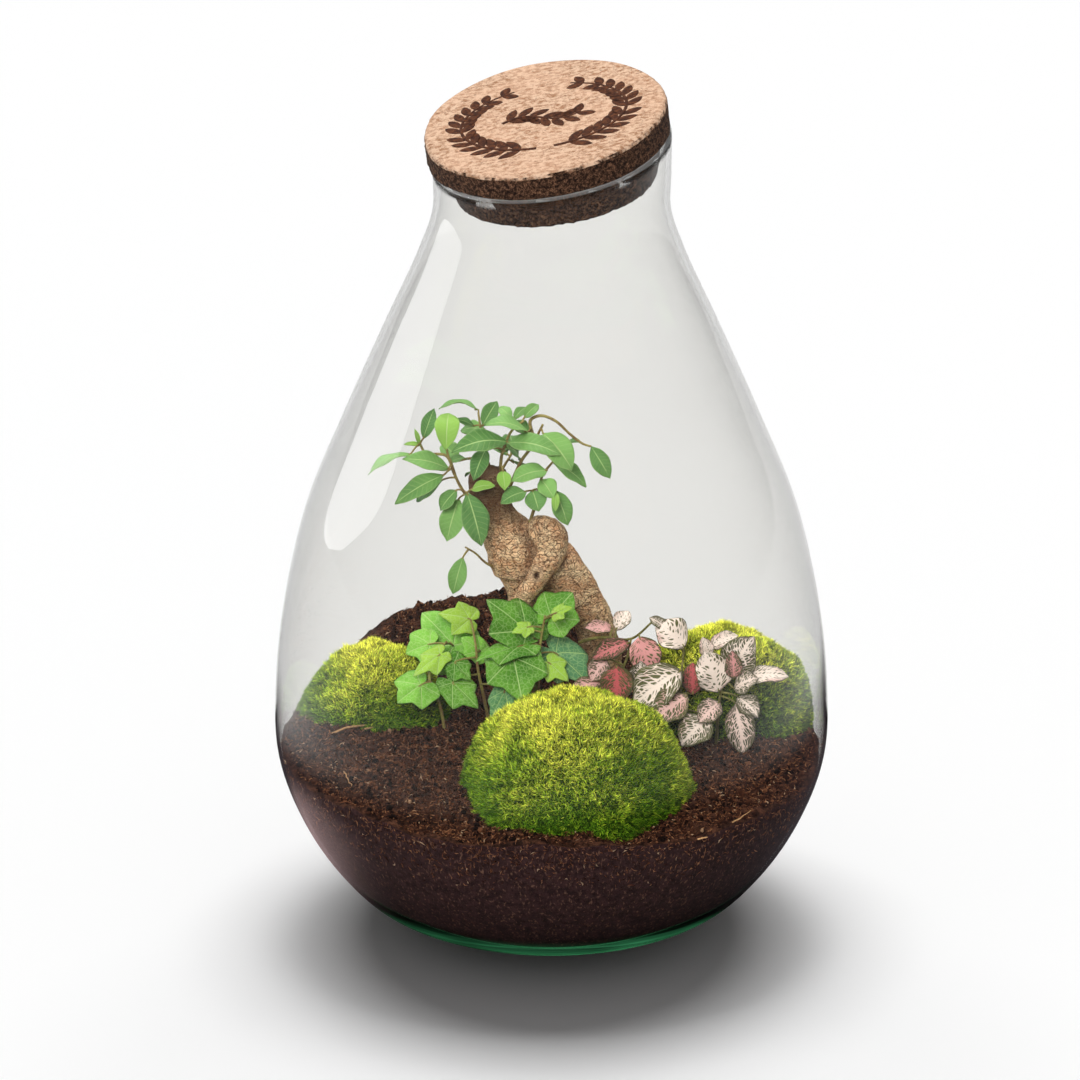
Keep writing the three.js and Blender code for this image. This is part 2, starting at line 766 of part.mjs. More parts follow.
const FITTONIA_STEMS = {
  fittonia_left: {
    stems: [
      [
        [34, 20, 74],
        [33, 18, 96],
        [32, 16, 109],
        [36, 19, 120],
        [38, 26, 127],
      ],
      [
        [13, 29, 124],
        [23, 28, 127],
        [38, 26, 127],
        [48, 30, 134],
      ],
    ],
    leaves: [
      [29, 32, 130, 18, 28, 132, 6],
      [31, 31, 130, 36, 37, 136, 7],
      [37, 21, 127, 22, 16, 122, 9],
      [42, 23, 129, 46, 16, 116, 13],
      [26, 17, 120, 20, 11, 113, 9],
      [31, 11, 119, 31, 2, 106, 13],
      [42, 12, 109, 42, 12, 119, 9],
      [24, 12, 110, 11, 7, 109, 7],
    ],
  },
  fittonia_middle: {
    stems: [
      [
        [62, 6, 74],
        [62, 4, 99],
        [61, 6, 108],
        [62, 12, 118],
        [63, 17, 125],
      ],
    ],
    leaves: [
      [61, 2, 120, 42, -3, 107, 18],
      [64, -6, 110, 50, -12, 102, 14],
      [67, 5, 107, 67, 9, 119, 9],
      [63, 16, 127, 52, 20, 136, 14],
      [55, 21, 134, 48, 21, 139, 5],
      [74, -11, 101, 63, -19, 93, 14],
    ],
  },
  fittonia_right: {
    stems: [
      [
        [78, 0, 74],
        [79, -1, 99],
        [80, -1, 110],
        [82, -1, 119],
        [78, 2, 128],
      ],
    ],
    leaves: [
      [79, -4, 112, 73, -2, 128, 15],
      [75, 8, 130, 86, 8, 135, 7],
      [74, 5, 126, 72, 6, 134, 6],
      [85, 1, 118, 93, 0, 135, 15],
      [86, -5, 119, 85, -6, 131, 7],
      [86, -6, 114, 95, -9, 120, 10],
      [92, -4, 119, 108, -10, 122, 8],
      [88, -4, 109, 96, -10, 103, 9],
      [79, -8, 108, 71, -15, 102, 10],
      [87, -8, 107, 90, -14, 88, 12],
    ],
  },
};

// ---------------------------------------------------------------- The whole terrarium

const terrarium = new THREE.Group();
terrarium.name = "terrarium";

terrarium.add(pieceOf("glass_jar", glassJar(), "glass"));

const stopper = new THREE.Group();
stopper.position.set(0, 0, RIM_HEIGHT);
stopper.quaternion.copy(rimTurn);
stopper.add(pieceOf("cork_stopper", corkStopper(), "cork"));
terrarium.add(stopper);

const bareSoil = soilBody();
const feet = TRUNK_LIMBS.slice(0, 2).map(({ points, radii }) =>
  trunkLimb(points, radii, GAP * 1.2),
);
const roots = [...Object.values(IVY_STEMS), ...Object.values(FITTONIA_STEMS)].map(socket);
terrarium.add(pieceOf("soil", cutBy(bareSoil, [...feet, ...roots]), "soil"));

const space = cavity();
for (const [name, cushion] of Object.entries(MOSS_CUSHIONS))
  terrarium.add(pieceOf(name, mossCushion(cushion, bareSoil, space), "moss"));

terrarium.add(pieceOf("ficus_trunk", ficusTrunk(), "bark"));
for (const [name, spray] of Object.entries(FICUS_SPRAYS))
  terrarium.add(pieceOf(name, leafyStem(spray, FICUS_LEAF), "ficus"));
for (const [name, stem] of Object.entries(IVY_STEMS))
  terrarium.add(pieceOf(name, leafyStem(stem, IVY_LEAF), "ivy"));
for (const [name, stem] of Object.entries(FITTONIA_STEMS))
  terrarium.add(pieceOf(name, leafyStem(stem, FITTONIA_LEAF), "fittonia"));

export default terrarium;
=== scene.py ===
"""A glass plant terrarium: blown glass, cork, potting soil, moss, a small ficus, ivy and fittonia."""

import json
import logging
import math
from collections.abc import Callable, Iterable, Sequence
from dataclasses import dataclass, field
from enum import Enum

import bmesh
import bpy
import numpy as np
from mathutils import Matrix, Vector, noise

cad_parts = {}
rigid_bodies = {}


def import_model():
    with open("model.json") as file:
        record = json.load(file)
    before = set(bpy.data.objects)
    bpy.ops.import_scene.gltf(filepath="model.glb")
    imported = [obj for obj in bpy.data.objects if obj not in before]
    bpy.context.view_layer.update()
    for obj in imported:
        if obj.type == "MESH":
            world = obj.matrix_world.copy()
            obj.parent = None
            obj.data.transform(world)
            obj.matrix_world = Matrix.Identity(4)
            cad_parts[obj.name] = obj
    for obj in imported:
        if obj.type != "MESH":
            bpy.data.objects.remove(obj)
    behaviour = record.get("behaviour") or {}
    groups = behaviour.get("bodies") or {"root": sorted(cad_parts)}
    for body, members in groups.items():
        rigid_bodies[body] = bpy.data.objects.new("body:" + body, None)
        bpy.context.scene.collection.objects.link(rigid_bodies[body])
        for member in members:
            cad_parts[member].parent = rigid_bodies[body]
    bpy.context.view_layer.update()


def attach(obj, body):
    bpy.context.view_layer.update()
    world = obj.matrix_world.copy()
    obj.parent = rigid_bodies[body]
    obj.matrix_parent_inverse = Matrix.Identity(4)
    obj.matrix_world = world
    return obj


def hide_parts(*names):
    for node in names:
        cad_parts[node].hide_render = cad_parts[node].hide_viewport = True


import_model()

BODY = "root"
WHITE = (1.0, 1.0, 1.0, 1.0)
MM = 0.001  # meshes are made in millimetres and finished in metres
LOG = logging.getLogger("terrarium")

IVY_LOBES = (0.0, 56.0, 112.0)  # the angles from an ivy leaf's tip at which its lobes stand

Point = tuple[float, float, float]
Tint = tuple[float, float, float, float]


def colour(red: int, green: int, blue: int) -> Tint:
    """The linear colour of an sRGB one.

    Args:
        red, green, blue: The sRGB values, from 0 to 255.

    Returns:
        The linear red, green and blue, and an alpha of 1.
    """
    channels = [value / 255 for value in (red, green, blue)]
    linear = [c / 12.92 if c <= 0.04045 else ((c + 0.055) / 1.055) ** 2.4 for c in channels]
    return (*linear, 1.0)


def mix(a: float, b: float, share: float) -> float:
    """The value that lies `share` of the way from a to b."""
    return a + (b - a) * share


def smoothstep(value: float, low: float, high: float) -> float:
    """0 below low, 1 above high, and a smooth rise between them."""
    share = min(max((value - low) / (high - low), 0.0), 1.0)
    return share * share * (3 - 2 * share)


def unit(vectors: np.ndarray) -> np.ndarray:
    """Vectors brought to a length of 1."""
    return vectors / np.linalg.norm(vectors, axis=1, keepdims=True)


def smooth_path(points: Sequence[Sequence[float]], steps: int) -> list[Vector]:
    """A smooth line through points.

    Args:
        points: Two or three coordinates each.
        steps: Stretches between two points.

    Returns:
        The points of a centripetal Catmull-Rom curve.
    """
    knots = [Vector((*point, 0.0)[:3]) for point in points]
    knots = [2 * knots[0] - knots[1], *knots, 2 * knots[-1] - knots[-2]]
    path = []
    for before, start, end, after in zip(knots, knots[1:], knots[2:], knots[3:]):
        pairs = ((before, start), (start, end), (end, after))
        first, gap, last = (max((b - a).length, 1e-6) ** 0.5 for a, b in pairs)
        leave = (start - before) / first - (end - before) / (first + gap) + (end - start) / gap
        arrive = (end - start) / gap - (after - start) / (gap + last) + (after - end) / last
        leave, arrive = leave * gap, arrive * gap
        for step in range(steps):
            t = step / steps
            cubic = 2 * start - 2 * end + leave + arrive
            square = 3 * end - 3 * start - 2 * leave - arrive
            path.append(start + leave * t + square * t**2 + cubic * t**3)
    return [*path, knots[-2]]


# ---------------------------------------------------------------- Shader nodes


class Nodes:
    """Writes nodes into a material or a group, one call a node."""

    def __init__(self, tree: bpy.types.NodeTree) -> None:
        """Starts with an empty tree."""
        self.tree = tree
        tree.nodes.clear()

    def add(self, kind: str, inputs: dict | None = None, **settings: object) -> bpy.types.Node:
        """Adds a node.

        Args:
            kind: Its type, without the ShaderNode in front.
            inputs: A value or another node's output for each socket's name or number.
            settings: The node's own properties.

        Returns:
            The new node.
        """
        node = self.tree.nodes.new("ShaderNode" + kind)
        for name, value in settings.items():
            setattr(node, name, value)
        for key, value in (inputs or {}).items():
            if isinstance(value, bpy.types.NodeSocket):
                self.tree.links.new(value, node.inputs[key])
            else:
                node.inputs[key].default_value = value
        return node

    def math(self, operation: str, *values: object) -> bpy.types.NodeSocket:
        """The output of a Math node on one to three values or sockets."""
        return self.add("Math", dict(enumerate(values)), operation=operation).outputs[0]

    def times(self, a: object, b: object) -> bpy.types.NodeSocket:
        """The product of two values."""
        return self.math("MULTIPLY", a, b)

    def scaled(self, value: object, factor: object, offset: object) -> bpy.types.NodeSocket:
        """The value times the factor, plus the offset."""
        return self.math("MULTIPLY_ADD", value, factor, offset)

    def most(self, *values: object) -> bpy.types.NodeSocket:
        """The highest of two values."""
        return self.math("MAXIMUM", *values)

    def left(self, share: object) -> bpy.types.NodeSocket:
        """What a share leaves of 1."""
        return self.math("SUBTRACT", 1.0, share)

    def blend(self, share: object, a: object, b: object, kind: str = "MIX") -> bpy.types.NodeSocket:
        """The colour between a and b, at a share."""
        node = self.add("Mix", {0: share, 6: a, 7: b}, data_type="RGBA", blend_type=kind)
        return node.outputs[2]

    def between(self, value: object, low: object, high: object) -> bpy.types.NodeSocket:
        """A smooth change from 0, where the value is at low, to 1, where it is at high."""
        node = self.add("MapRange", {0: value, 1: low, 2: high}, interpolation_type="SMOOTHSTEP")
        return node.outputs[0]

    def ramp(self, value: object, low: object, high: object, start: object,
             end: object) -> bpy.types.NodeSocket:
        """An even change from start, where the value is at low, to end, where it is at high."""
        return self.add("MapRange", {0: value, 1: low, 2: high, 3: start, 4: end}).outputs[0]

    def stretched(self, place: object, scale: Point, turn: Point = (0.0, 0.0, 0.0)) -> bpy.types.NodeSocket:
        """A place whose pattern is squeezed by `scale` along each axis, and turned."""
        return self.add("Mapping", {0: place, 2: turn, 3: scale}).outputs[0]

    def noise(self, place: object, scale: object, detail: float = 3.0) -> bpy.types.NodeSocket:
        """The value of a noise of `scale` grains a metre."""
        return self.add("TexNoise", {"Vector": place, "Scale": scale, "Detail": detail}).outputs[0]

    def warped(self, place: object, amount: float, scale: float, detail: float) -> bpy.types.NodeSocket:
        """A place that a noise of `scale` grains a metre moves by up to `amount`."""
        drift = self.add("TexNoise", {"Vector": place, "Scale": scale, "Detail": detail}).outputs[1]
        return self.blend(amount, place, drift, "ADD")

    def cells(self, place: object, scale: object, feature: str = "F1") -> bpy.types.NodeSocket:
        """The distance of a Voronoi pattern."""
        node = self.add("TexVoronoi", {"Vector": place, "Scale": scale}, feature=feature)
        return node.outputs["Distance"]

    def mirror_share(self) -> bpy.types.NodeSocket:
        """1 for what is seen in a mirror image, and 0 for what is seen straight or through glass."""
        light = self.add("LightPath").outputs
        mirrors = self.math("SUBTRACT", light["Ray Depth"], light["Transmission Depth"])
        return self.times(self.math("GREATER_THAN", mirrors, 0.5), self.left(light["Is Diffuse Ray"]))

    def outer_mirror_share(self) -> bpy.types.NodeSocket:
        """1 for what the outside of the glass mirrors, and less for what is mirrored within the jar."""
        depth = self.add("LightPath").outputs["Ray Depth"]
        return self.ramp(depth, 3.0, 4.0, 1.0, 0.3)

    def place(self) -> bpy.types.NodeSocket:
        """The object's own coordinates, in metres."""
        return self.add("TexCoord").outputs["Object"]

    def axes(self, place: object) -> bpy.types.bpy_prop_collection:
        """The three coordinates of a place."""
        return self.add("SeparateXYZ", {0: place}).outputs

    def distance(self, place: object, centre: Point) -> bpy.types.NodeSocket:
        """How far a place is from a centre."""
        return self.add("VectorMath", {0: place, 1: centre}, operation="DISTANCE").outputs["Value"]

    def blade_axes(self) -> bpy.types.bpy_prop_collection:
        """A blade's own coordinates, across and along, or round and outwards, from 0 to 1."""
        return self.axes(self.add("UVMap", uv_map="blade").outputs[0])

    def attribute(self, name: str) -> bpy.types.NodeSocket:
        """The colour that the piece's attribute of that name holds."""
        return self.add("Attribute", attribute_name=name).outputs[0]

    def channels(self, name: str) -> bpy.types.bpy_prop_collection:
        """The red, green and blue of the piece's attribute of that name."""
        return self.add("SeparateColor", {0: self.attribute(name)}).outputs

    def group(self, name: str, inputs: dict) -> bpy.types.bpy_prop_collection:
        """The outputs of a shared group, which is made on first use, at the given inputs."""
        shared = bpy.data.node_groups.get(name) or SHARED_GROUPS[name](name)
        return self.add("Group", inputs, node_tree=shared).outputs

    def mottle(self, place: object, scale: float, dark: object, light: object, middle: float = 0.5,
               softness: float = 0.15) -> bpy.types.bpy_prop_collection:
        """The colour of the shared mottle, and the height of its grain."""
        return self.group("Mottle", {"Vector": place, "Scale": scale, "Dark": dark, "Light": light,
                                     "Middle": middle, "Softness": softness})

    def pits(self, place: object, scale: float, size: float) -> bpy.types.NodeSocket:
        """The mask of the shared pits."""
        return self.group("Pits", {"Vector": place, "Scale": scale, "Size": size})["Mask"]

    def bump(self, height: object, depth: float, strength: float = 1.0) -> bpy.types.NodeSocket:
        """The normal of a height from 0 to 1, `depth` metres deep."""
        return self.add("Bump", {"Height": height, "Distance": depth, "Strength": strength}).outputs[0]

    def surface(self, **sockets: object) -> None:
        """Ends the tree in a Principled BSDF.

        Args:
            sockets: Its sockets, with _ for each space in a name.
        """
        values = {name.replace("_", " "): value for name, value in sockets.items()}
        self.end(self.add("BsdfPrincipled", values))

    def end(self, shader: bpy.types.Node) -> None:
        """Ends the tree in a shader."""
        self.add("OutputMaterial", {"Surface": shader.outputs[0]})


def new_group(name: str, inputs: dict[str, tuple[str, object]], outputs: dict[str, str]) -> tuple:
    """An empty shared group.

    Args:
        name: The group's name.
        inputs: The kind of socket and the first value of each input.
        outputs: The kind of socket of each output.

    Returns:
        The group, its node writer, and the sockets of its input node and its output node.
    """
    tree = bpy.data.node_groups.new(name, "ShaderNodeTree")
    for key, (kind, value) in inputs.items():
        socket = tree.interface.new_socket(name=key, in_out="INPUT", socket_type="NodeSocket" + kind)
        if value is not None:
            socket.default_value = value
    for key, kind in outputs.items():
        tree.interface.new_socket(name=key, in_out="OUTPUT", socket_type="NodeSocket" + kind)
    nodes = Nodes(tree)
    start = tree.nodes.new("NodeGroupInput")
    end = tree.nodes.new("NodeGroupOutput")
    return tree, nodes, start.outputs, end.inputs


def mottle_group(name: str) -> bpy.types.NodeTree:
    """Two colours that break up over coarse and fine grains, with the height of the grain.

    Args:
        name: The group's name.

    Returns:
        The node group.
    """
    tree, nodes, given, out = new_group(
        name,
        {
            "Vector": ("Vector", None),
            "Scale": ("Float", 200.0),
            "Dark": ("Color", colour(60, 40, 30)),
            "Light": ("Color", colour(160, 120, 90)),
            "Middle": ("Float", 0.5),
            "Softness": ("Float", 0.15),
        },
        {"Color": "Color", "Height": "Float"},
    )
    coarse = nodes.noise(given["Vector"], given["Scale"], 4.0)
    fine = nodes.noise(given["Vector"], nodes.times(given["Scale"], 4.3), 3.0)
    grain = nodes.scaled(fine, 0.4, nodes.times(coarse, 0.6))
    low = nodes.math("SUBTRACT", given["Middle"], given["Softness"])
    high = nodes.math("ADD", given["Middle"], given["Softness"])
    share = nodes.between(grain, low, high)
    tree.links.new(nodes.blend(share, given["Dark"], given["Light"]), out["Color"])
    tree.links.new(grain, out["Height"])
    return tree


def pits_group(name: str) -> bpy.types.NodeTree:
    """Scattered round pits or specks of uneven size.

    Args:
        name: The group's name.

    Returns:
        The node group.
    """
    tree, nodes, given, out = new_group(
        name,
        {"Vector": ("Vector", None), "Scale": ("Float", 300.0), "Size": ("Float", 0.3)},
        {"Mask": "Float"},
    )
    bend = nodes.noise(given["Vector"], nodes.times(given["Scale"], 1.7), 2.0)
    spots = nodes.cells(given["Vector"], given["Scale"])
    uneven = nodes.scaled(bend, 0.45, nodes.math("SUBTRACT", spots, 0.22))
    mask = nodes.between(uneven, given["Size"], nodes.times(given["Size"], 0.6))
    tree.links.new(mask, out["Mask"])
    return tree


def leaf_green_group(name: str) -> bpy.types.NodeTree:
    """A leaf's own green: each leaf between two greens, and young leaves another one.

    The attribute `leaf` holds a random shade in red, its youth in green and its side or colour in blue.
    """
    tree, nodes, given, out = new_group(
        name,
        {
            "Leaf": ("Color", (0.5, 0.0, 0.0, 1.0)),
            "Vector": ("Vector", None),
            "Dark": ("Color", colour(60, 100, 50)),
            "Light": ("Color", colour(120, 160, 90)),
            "Young": ("Color", colour(180, 210, 90)),
            "Scale": ("Float", 120.0),
        },
        {"Color": "Color", "Shade": "Float", "Youth": "Float", "Under": "Float"},
    )
    parts = nodes.add("SeparateColor", {0: given["Leaf"]})
    patches = nodes.noise(given["Vector"], given["Scale"], 3.0)
    share = nodes.scaled(nodes.math("SUBTRACT", patches, 0.5), 0.9, parts.outputs[0])
    green = nodes.blend(nodes.between(share, 0.0, 1.0), given["Dark"], given["Light"])
    tree.links.new(nodes.blend(parts.outputs[1], green, given["Young"]), out["Color"])
    for number, key in enumerate(("Shade", "Youth", "Under")):
        tree.links.new(parts.outputs[number], out[key])
    return tree


SHARED_GROUPS = {"Mottle": mottle_group, "Pits": pits_group, "Leaf Green": leaf_green_group}


# ---------------------------------------------------------------- Finishes


class Slot(Enum):
    """The record's material slots."""

    GLASS = "glass"
    CORK = "cork"
    SOIL = "soil"
    MOSS = "moss"
    BARK = "bark"
    FICUS = "ficus_leaf"
    IVY = "ivy_leaf"
    FITTONIA = "fittonia_leaf"


@dataclass(frozen=True)
class Finish:
    """A named material that is made once."""

    name: str

    def material(self) -> bpy.types.Material:
        """The material, made on first use."""
        made = bpy.data.materials.get(self.name)
        if made is None:
            made = bpy.data.materials.new(self.name)
            made.use_nodes = True
            self.write(Nodes(made.node_tree))
        return made

    def write(self, nodes: Nodes) -> None:
        """Writes the material's nodes."""
        raise NotImplementedError


@dataclass(frozen=True)
class GlassFinish(Finish):
    """Clear blown glass, green where it is thick at the foot, where it also glows green in streaks as painted
    light.

    Its rounded rim and the outline of its belly are mixed with a plain pane, which mirrors nothing; a thin white
    painted highlight glows just under the top of the rim.
    """

    clear: Tint = (0.902, 0.9, 0.884, 1.0)
    green: Tint = (0.30, 0.62, 0.40, 1.0)
    # The green of the painted light that glows from the thick foot, though the glass is no lamp.
    glow: Tint = (0.018, 0.110, 0.046, 1.0)
    pane: Tint = (0.86, 0.86, 0.85, 1.0)
    green_top: float = 0.020
    green_full: float = 0.011
    index: float = 1.45
    shine: float = 0.25
    rim_height: float = 0.376
    rim_slope: tuple[float, float] = (0.15, 0.165)
    belly: tuple[float, float, float, float] = (0.096, 0.104, 0.150, 0.180)
    # A painted highlight: how brightly a thin band just under the rim's top glows white, and how far below the top
    # that band lies.
    painted_glint: float = 0.36
    painted_glint_below: tuple[float, float] = (0.0018, 0.0008)
    lip_below: tuple[float, float] = (0.005, 0.002)
    lip_pane: float = 0.7
    outline: tuple[float, float] = (0.84, 0.95)
    lamplight: Tint = (0.98, 0.98, 0.98, 1.0)

    def write(self, nodes: Nodes) -> None:
        """Writes the material's nodes; lamps shine straight through it."""
        place = nodes.place()
        height = nodes.axes(place)[2]
        thick = nodes.between(height, self.green_top, self.green_full)
        streaks = nodes.noise(nodes.stretched(place, (0.3, 0.3, 6.0)), 60.0, 2.0)
        # Painted light: the thick foot glows green in streaks.
        painted_foot_glow = nodes.times(thick, nodes.scaled(nodes.between(streaks, 0.42, 0.62), 0.9, 0.12))
        up = (-self.rim_slope[0], -self.rim_slope[1], 1.0)
        level = nodes.add("VectorMath", {0: place, 1: up}, operation="DOT_PRODUCT").outputs["Value"]
        # The band of the painted highlight under the rim, and the band of the lip that is mixed with the pane.
        painted_glint, lip = (nodes.between(level, self.rim_height - low, self.rim_height - high)
                      for low, high in (self.painted_glint_below, self.lip_below))
        glass = nodes.add(
            "BsdfPrincipled",
            {"Base Color": nodes.blend(thick, self.clear, self.green), "Roughness": 0.0, "IOR": self.index,
             "Transmission Weight": 1.0, "Specular Tint": (self.shine, self.shine, self.shine, 1.0),
             "Emission Color": nodes.blend(painted_glint, self.glow, WHITE),
             "Emission Strength": nodes.scaled(painted_glint, self.painted_glint, painted_foot_glow)},
        )
        light = nodes.add("LightPath").outputs
        lit = nodes.most(light["Is Shadow Ray"], light["Is Diffuse Ray"])
        facing = nodes.add("LayerWeight", {"Blend": 0.5}).outputs["Facing"]
        low, full, fading, gone = self.belly
        belly = nodes.times(nodes.between(height, low, full), nodes.between(height, gone, fading))
        outline = nodes.times(nodes.between(facing, *self.outline), belly)
        share = nodes.most(lit, nodes.most(nodes.times(lip, self.lip_pane), outline))
        pane = nodes.add("BsdfTransparent", {0: nodes.blend(lit, self.pane, self.lamplight)})
        nodes.end(nodes.add("MixShader", {0: share, 1: glass.outputs[0], 2: pane.outputs[0]}))


@dataclass(frozen=True)
class CorkFinish(Finish):
    """Pressed cork: pale and finely speckled on top, dark brown and fibrous round its side; the side's dark is
    partly the cork's own colour and partly painted shade, as the light falls from above.
    """

    top: Tint = colour(206, 174, 148)
    top_dark: Tint = colour(150, 110, 82)
    # The side's browns are partly painted shade, darker than the top because the light falls from above.
    side: Tint = colour(126, 90, 68)
    side_dark: Tint = colour(34, 20, 13)
    pit: Tint = colour(92, 54, 34)
    patch: Tint = colour(212, 172, 144)
    wrinkle: Tint = colour(12, 7, 5)
    top_grain: float = 560.0
    side_grain: float = 640.0

    def write(self, nodes: Nodes) -> None:
        """Writes the material's nodes."""
        place = nodes.place()
        mask = nodes.channels("cork")[0]
        # The side and the plug take the darker browns, partly as painted shade.
        side = nodes.between(nodes.scaled(nodes.noise(place, 330.0), 1.3, mask), 0.95, 1.25)
        grainy = nodes.stretched(place, (0.6, 1.0, 1.0))
        top = nodes.mottle(grainy, self.top_grain, self.top_dark, self.top, 0.48, 0.09)
        rough = nodes.mottle(place, self.side_grain, self.side_dark, self.side, 0.53, 0.13)
        wrinkles = nodes.cells(nodes.warped(place, 0.012, 260.0, 3.0), 520.0, "DISTANCE_TO_EDGE")
        wrinkled = nodes.times(nodes.between(wrinkles, 0.14, 0.02), 0.85)
        bark = nodes.blend(wrinkled, rough["Color"], self.wrinkle)
        marks = nodes.scaled(nodes.pits(grainy, 1100.0, 0.25), 0.5, nodes.pits(grainy, 520.0, 0.17))
        pale = nodes.blend(nodes.times(marks, 0.55), top["Color"], self.pit)
        wide = nodes.between(nodes.noise(place, 45.0, 2.0), 0.38, 0.62)
        pale = nodes.blend(nodes.times(wide, 0.3), pale, self.patch)
        height = nodes.math("SUBTRACT", nodes.blend(side, top["Height"], rough["Height"]), marks)
        nodes.surface(Base_Color=nodes.blend(side, pale, bark), Roughness=0.9, Specular_IOR_Level=0.15,
                      Normal=nodes.bump(height, 0.0014, 0.9))


@dataclass(frozen=True)
class BurntFinish(Finish):
    """Cork that is burnt dark."""

    dark: Tint = colour(48, 24, 14)
    light: Tint = colour(96, 56, 34)

    def write(self, nodes: Nodes) -> None:
        """Writes the material's nodes."""
        char = nodes.mottle(nodes.place(), 500.0, self.dark, self.light, 0.54, 0.12)
        nodes.surface(Base_Color=char["Color"], Roughness=0.95, Normal=nodes.bump(char["Height"], 0.0004))


@dataclass(frozen=True)
class SoilFinish(Finish):
    """Peaty potting soil: dark crumbs with pale specks; smooth and a little purple at the glass, the purple a
    painted reflection of the glass.

    The attribute's green says where the glass presses it.
    """

    dark: Tint = colour(26, 15, 12)
    light: Tint = colour(84, 54, 40)
    # Where the glass presses it: smooth, with a purple tint that is a painted reflection of the glass.
    pressed: Tint = colour(58, 38, 38)
    pressed_dark: Tint = colour(34, 21, 22)
    speck: Tint = colour(150, 112, 90)

    def write(self, nodes: Nodes) -> None:
        """Writes the material's nodes."""
        place = nodes.place()
        crumb = nodes.mottle(place, 260.0, self.dark, self.light, 0.52, 0.14)
        loose = nodes.blend(nodes.times(nodes.pits(place, 480.0, 0.06), 0.6), crumb["Color"], self.speck)
        flat = nodes.mottle(place, 330.0, self.pressed_dark, self.pressed, 0.5, 0.16)["Color"]
        strands = nodes.noise(nodes.stretched(place, (1.0, 1.0, 0.35), (0.5, 0.4, 0.0)), 900.0, 2.0)
        marks = nodes.times(nodes.between(strands, 0.56, 0.72), 0.35)
        body = nodes.blend(nodes.channels("soil")[1], loose, nodes.blend(marks, flat, self.speck))
        nodes.surface(Base_Color=body, Roughness=0.95, Specular_IOR_Level=0.15,
                      Normal=nodes.bump(crumb["Height"], 0.0015, 0.8))


@dataclass(frozen=True)
class CrumbFinish(Finish):
    """Loose crumbs and fibres, each of its own brown, held in the attribute `crumb`."""

    dimmer: Tint = (0.55, 0.5, 0.5, 1.0)
    brighter: Tint = (1.25, 1.2, 1.15, 1.0)

    def write(self, nodes: Nodes) -> None:
        """Writes the material's nodes."""
        grain = nodes.mottle(nodes.place(), 700.0, self.dimmer, self.brighter, 0.5, 0.2)
        body = nodes.blend(1.0, nodes.attribute("crumb"), grain["Color"], "MULTIPLY")
        nodes.surface(Base_Color=body, Roughness=0.95, Specular_IOR_Level=0.15,
                      Normal=nodes.bump(grain["Height"], 0.0006))


@dataclass(frozen=True)
class MossFinish(Finish):
    """Moss blades, each of its own green from its root to its tip, held in the attribute `moss`."""

    dimmer: Tint = (0.8, 0.85, 0.75, 1.0)
    brighter: Tint = (1.15, 1.12, 1.1, 1.0)

    def write(self, nodes: Nodes) -> None:
        """Writes the material's nodes."""
        grain = nodes.mottle(nodes.place(), 300.0, self.dimmer, self.brighter, 0.5, 0.2)
        body = nodes.blend(1.0, nodes.attribute("moss"), grain["Color"], "MULTIPLY")
        nodes.surface(Base_Color=body, Roughness=0.75, Specular_IOR_Level=0.15)


@dataclass(frozen=True)
class BarkFinish(Finish):
    """Tan bark with fine dark cracks across the limbs; darker and rougher on the cut stump.

    The attribute `bark` holds the scar's hole in red, the pale lip round it in green and creases in blue; the hole
    and the creases are painted dark as painted shade.
    """

    light: Tint = colour(255, 222, 176)
    dark: Tint = colour(222, 166, 120)
    pale: Tint = colour(250, 218, 184)
    crack: Tint = colour(74, 44, 28)
    # Painted shade: the dark of the scar's hole and of the creases where the curled root meets the other limbs.
    hole_shade: Tint = colour(58, 36, 26)
    lip: Tint = colour(230, 192, 156)
    crease: Tint = colour(92, 60, 42)
    stump: Tint = colour(96, 72, 52)
    stump_height: tuple[float, float] = (0.184, 0.200)

    def write(self, nodes: Nodes) -> None:
        """Writes the material's nodes."""
        place = nodes.place()
        warped = nodes.warped(place, 0.006, 160.0, 2.0)
        tan = nodes.mottle(place, 140.0, self.dark, self.light, 0.5, 0.16)
        lines = nodes.cells(nodes.stretched(warped, (1.0, 1.0, 2.3)), 330.0, "DISTANCE_TO_EDGE")
        broken = nodes.between(nodes.noise(place, 420.0, 2.0), 0.28, 0.44)
        cracks = nodes.times(nodes.between(lines, 0.08, 0.02), broken)
        marks = nodes.most(nodes.times(cracks, 0.75), nodes.times(nodes.pits(place, 620.0, 0.1), 0.6))
        speckle = nodes.noise(nodes.stretched(warped, (1.0, 1.0, 1.7)), 1250.0, 2.0)
        height = nodes.scaled(nodes.noise(place, 90.0), 0.02, nodes.axes(place)[2])
        rough = nodes.mottle(place, 420.0, self.crack, self.stump, 0.5, 0.12)
        hole_shade, lip, crease = nodes.channels("bark")
        body = nodes.blend(marks, tan["Color"], self.crack)
        for mask, strength, tint in (
            (nodes.between(speckle, 0.52, 0.34), 0.62, self.crack),
            (nodes.between(speckle, 0.56, 0.72), 0.5, self.pale),
            (nodes.between(height, *self.stump_height), 0.85, rough["Color"]),
            # Painted shade in the scar's hole and in the creases.
            (hole_shade, 1.0, self.hole_shade),
            (lip, 0.5, self.lip),
            (crease, 0.75, self.crease),
        ):
            body = nodes.blend(nodes.times(mask, strength), body, tint)
        relief = nodes.scaled(speckle, 0.9, nodes.scaled(tan["Height"], 0.7, nodes.left(marks)))
        nodes.surface(Base_Color=body, Roughness=0.8, Specular_IOR_Level=0.3,
                      Normal=nodes.bump(relief, 0.0010))


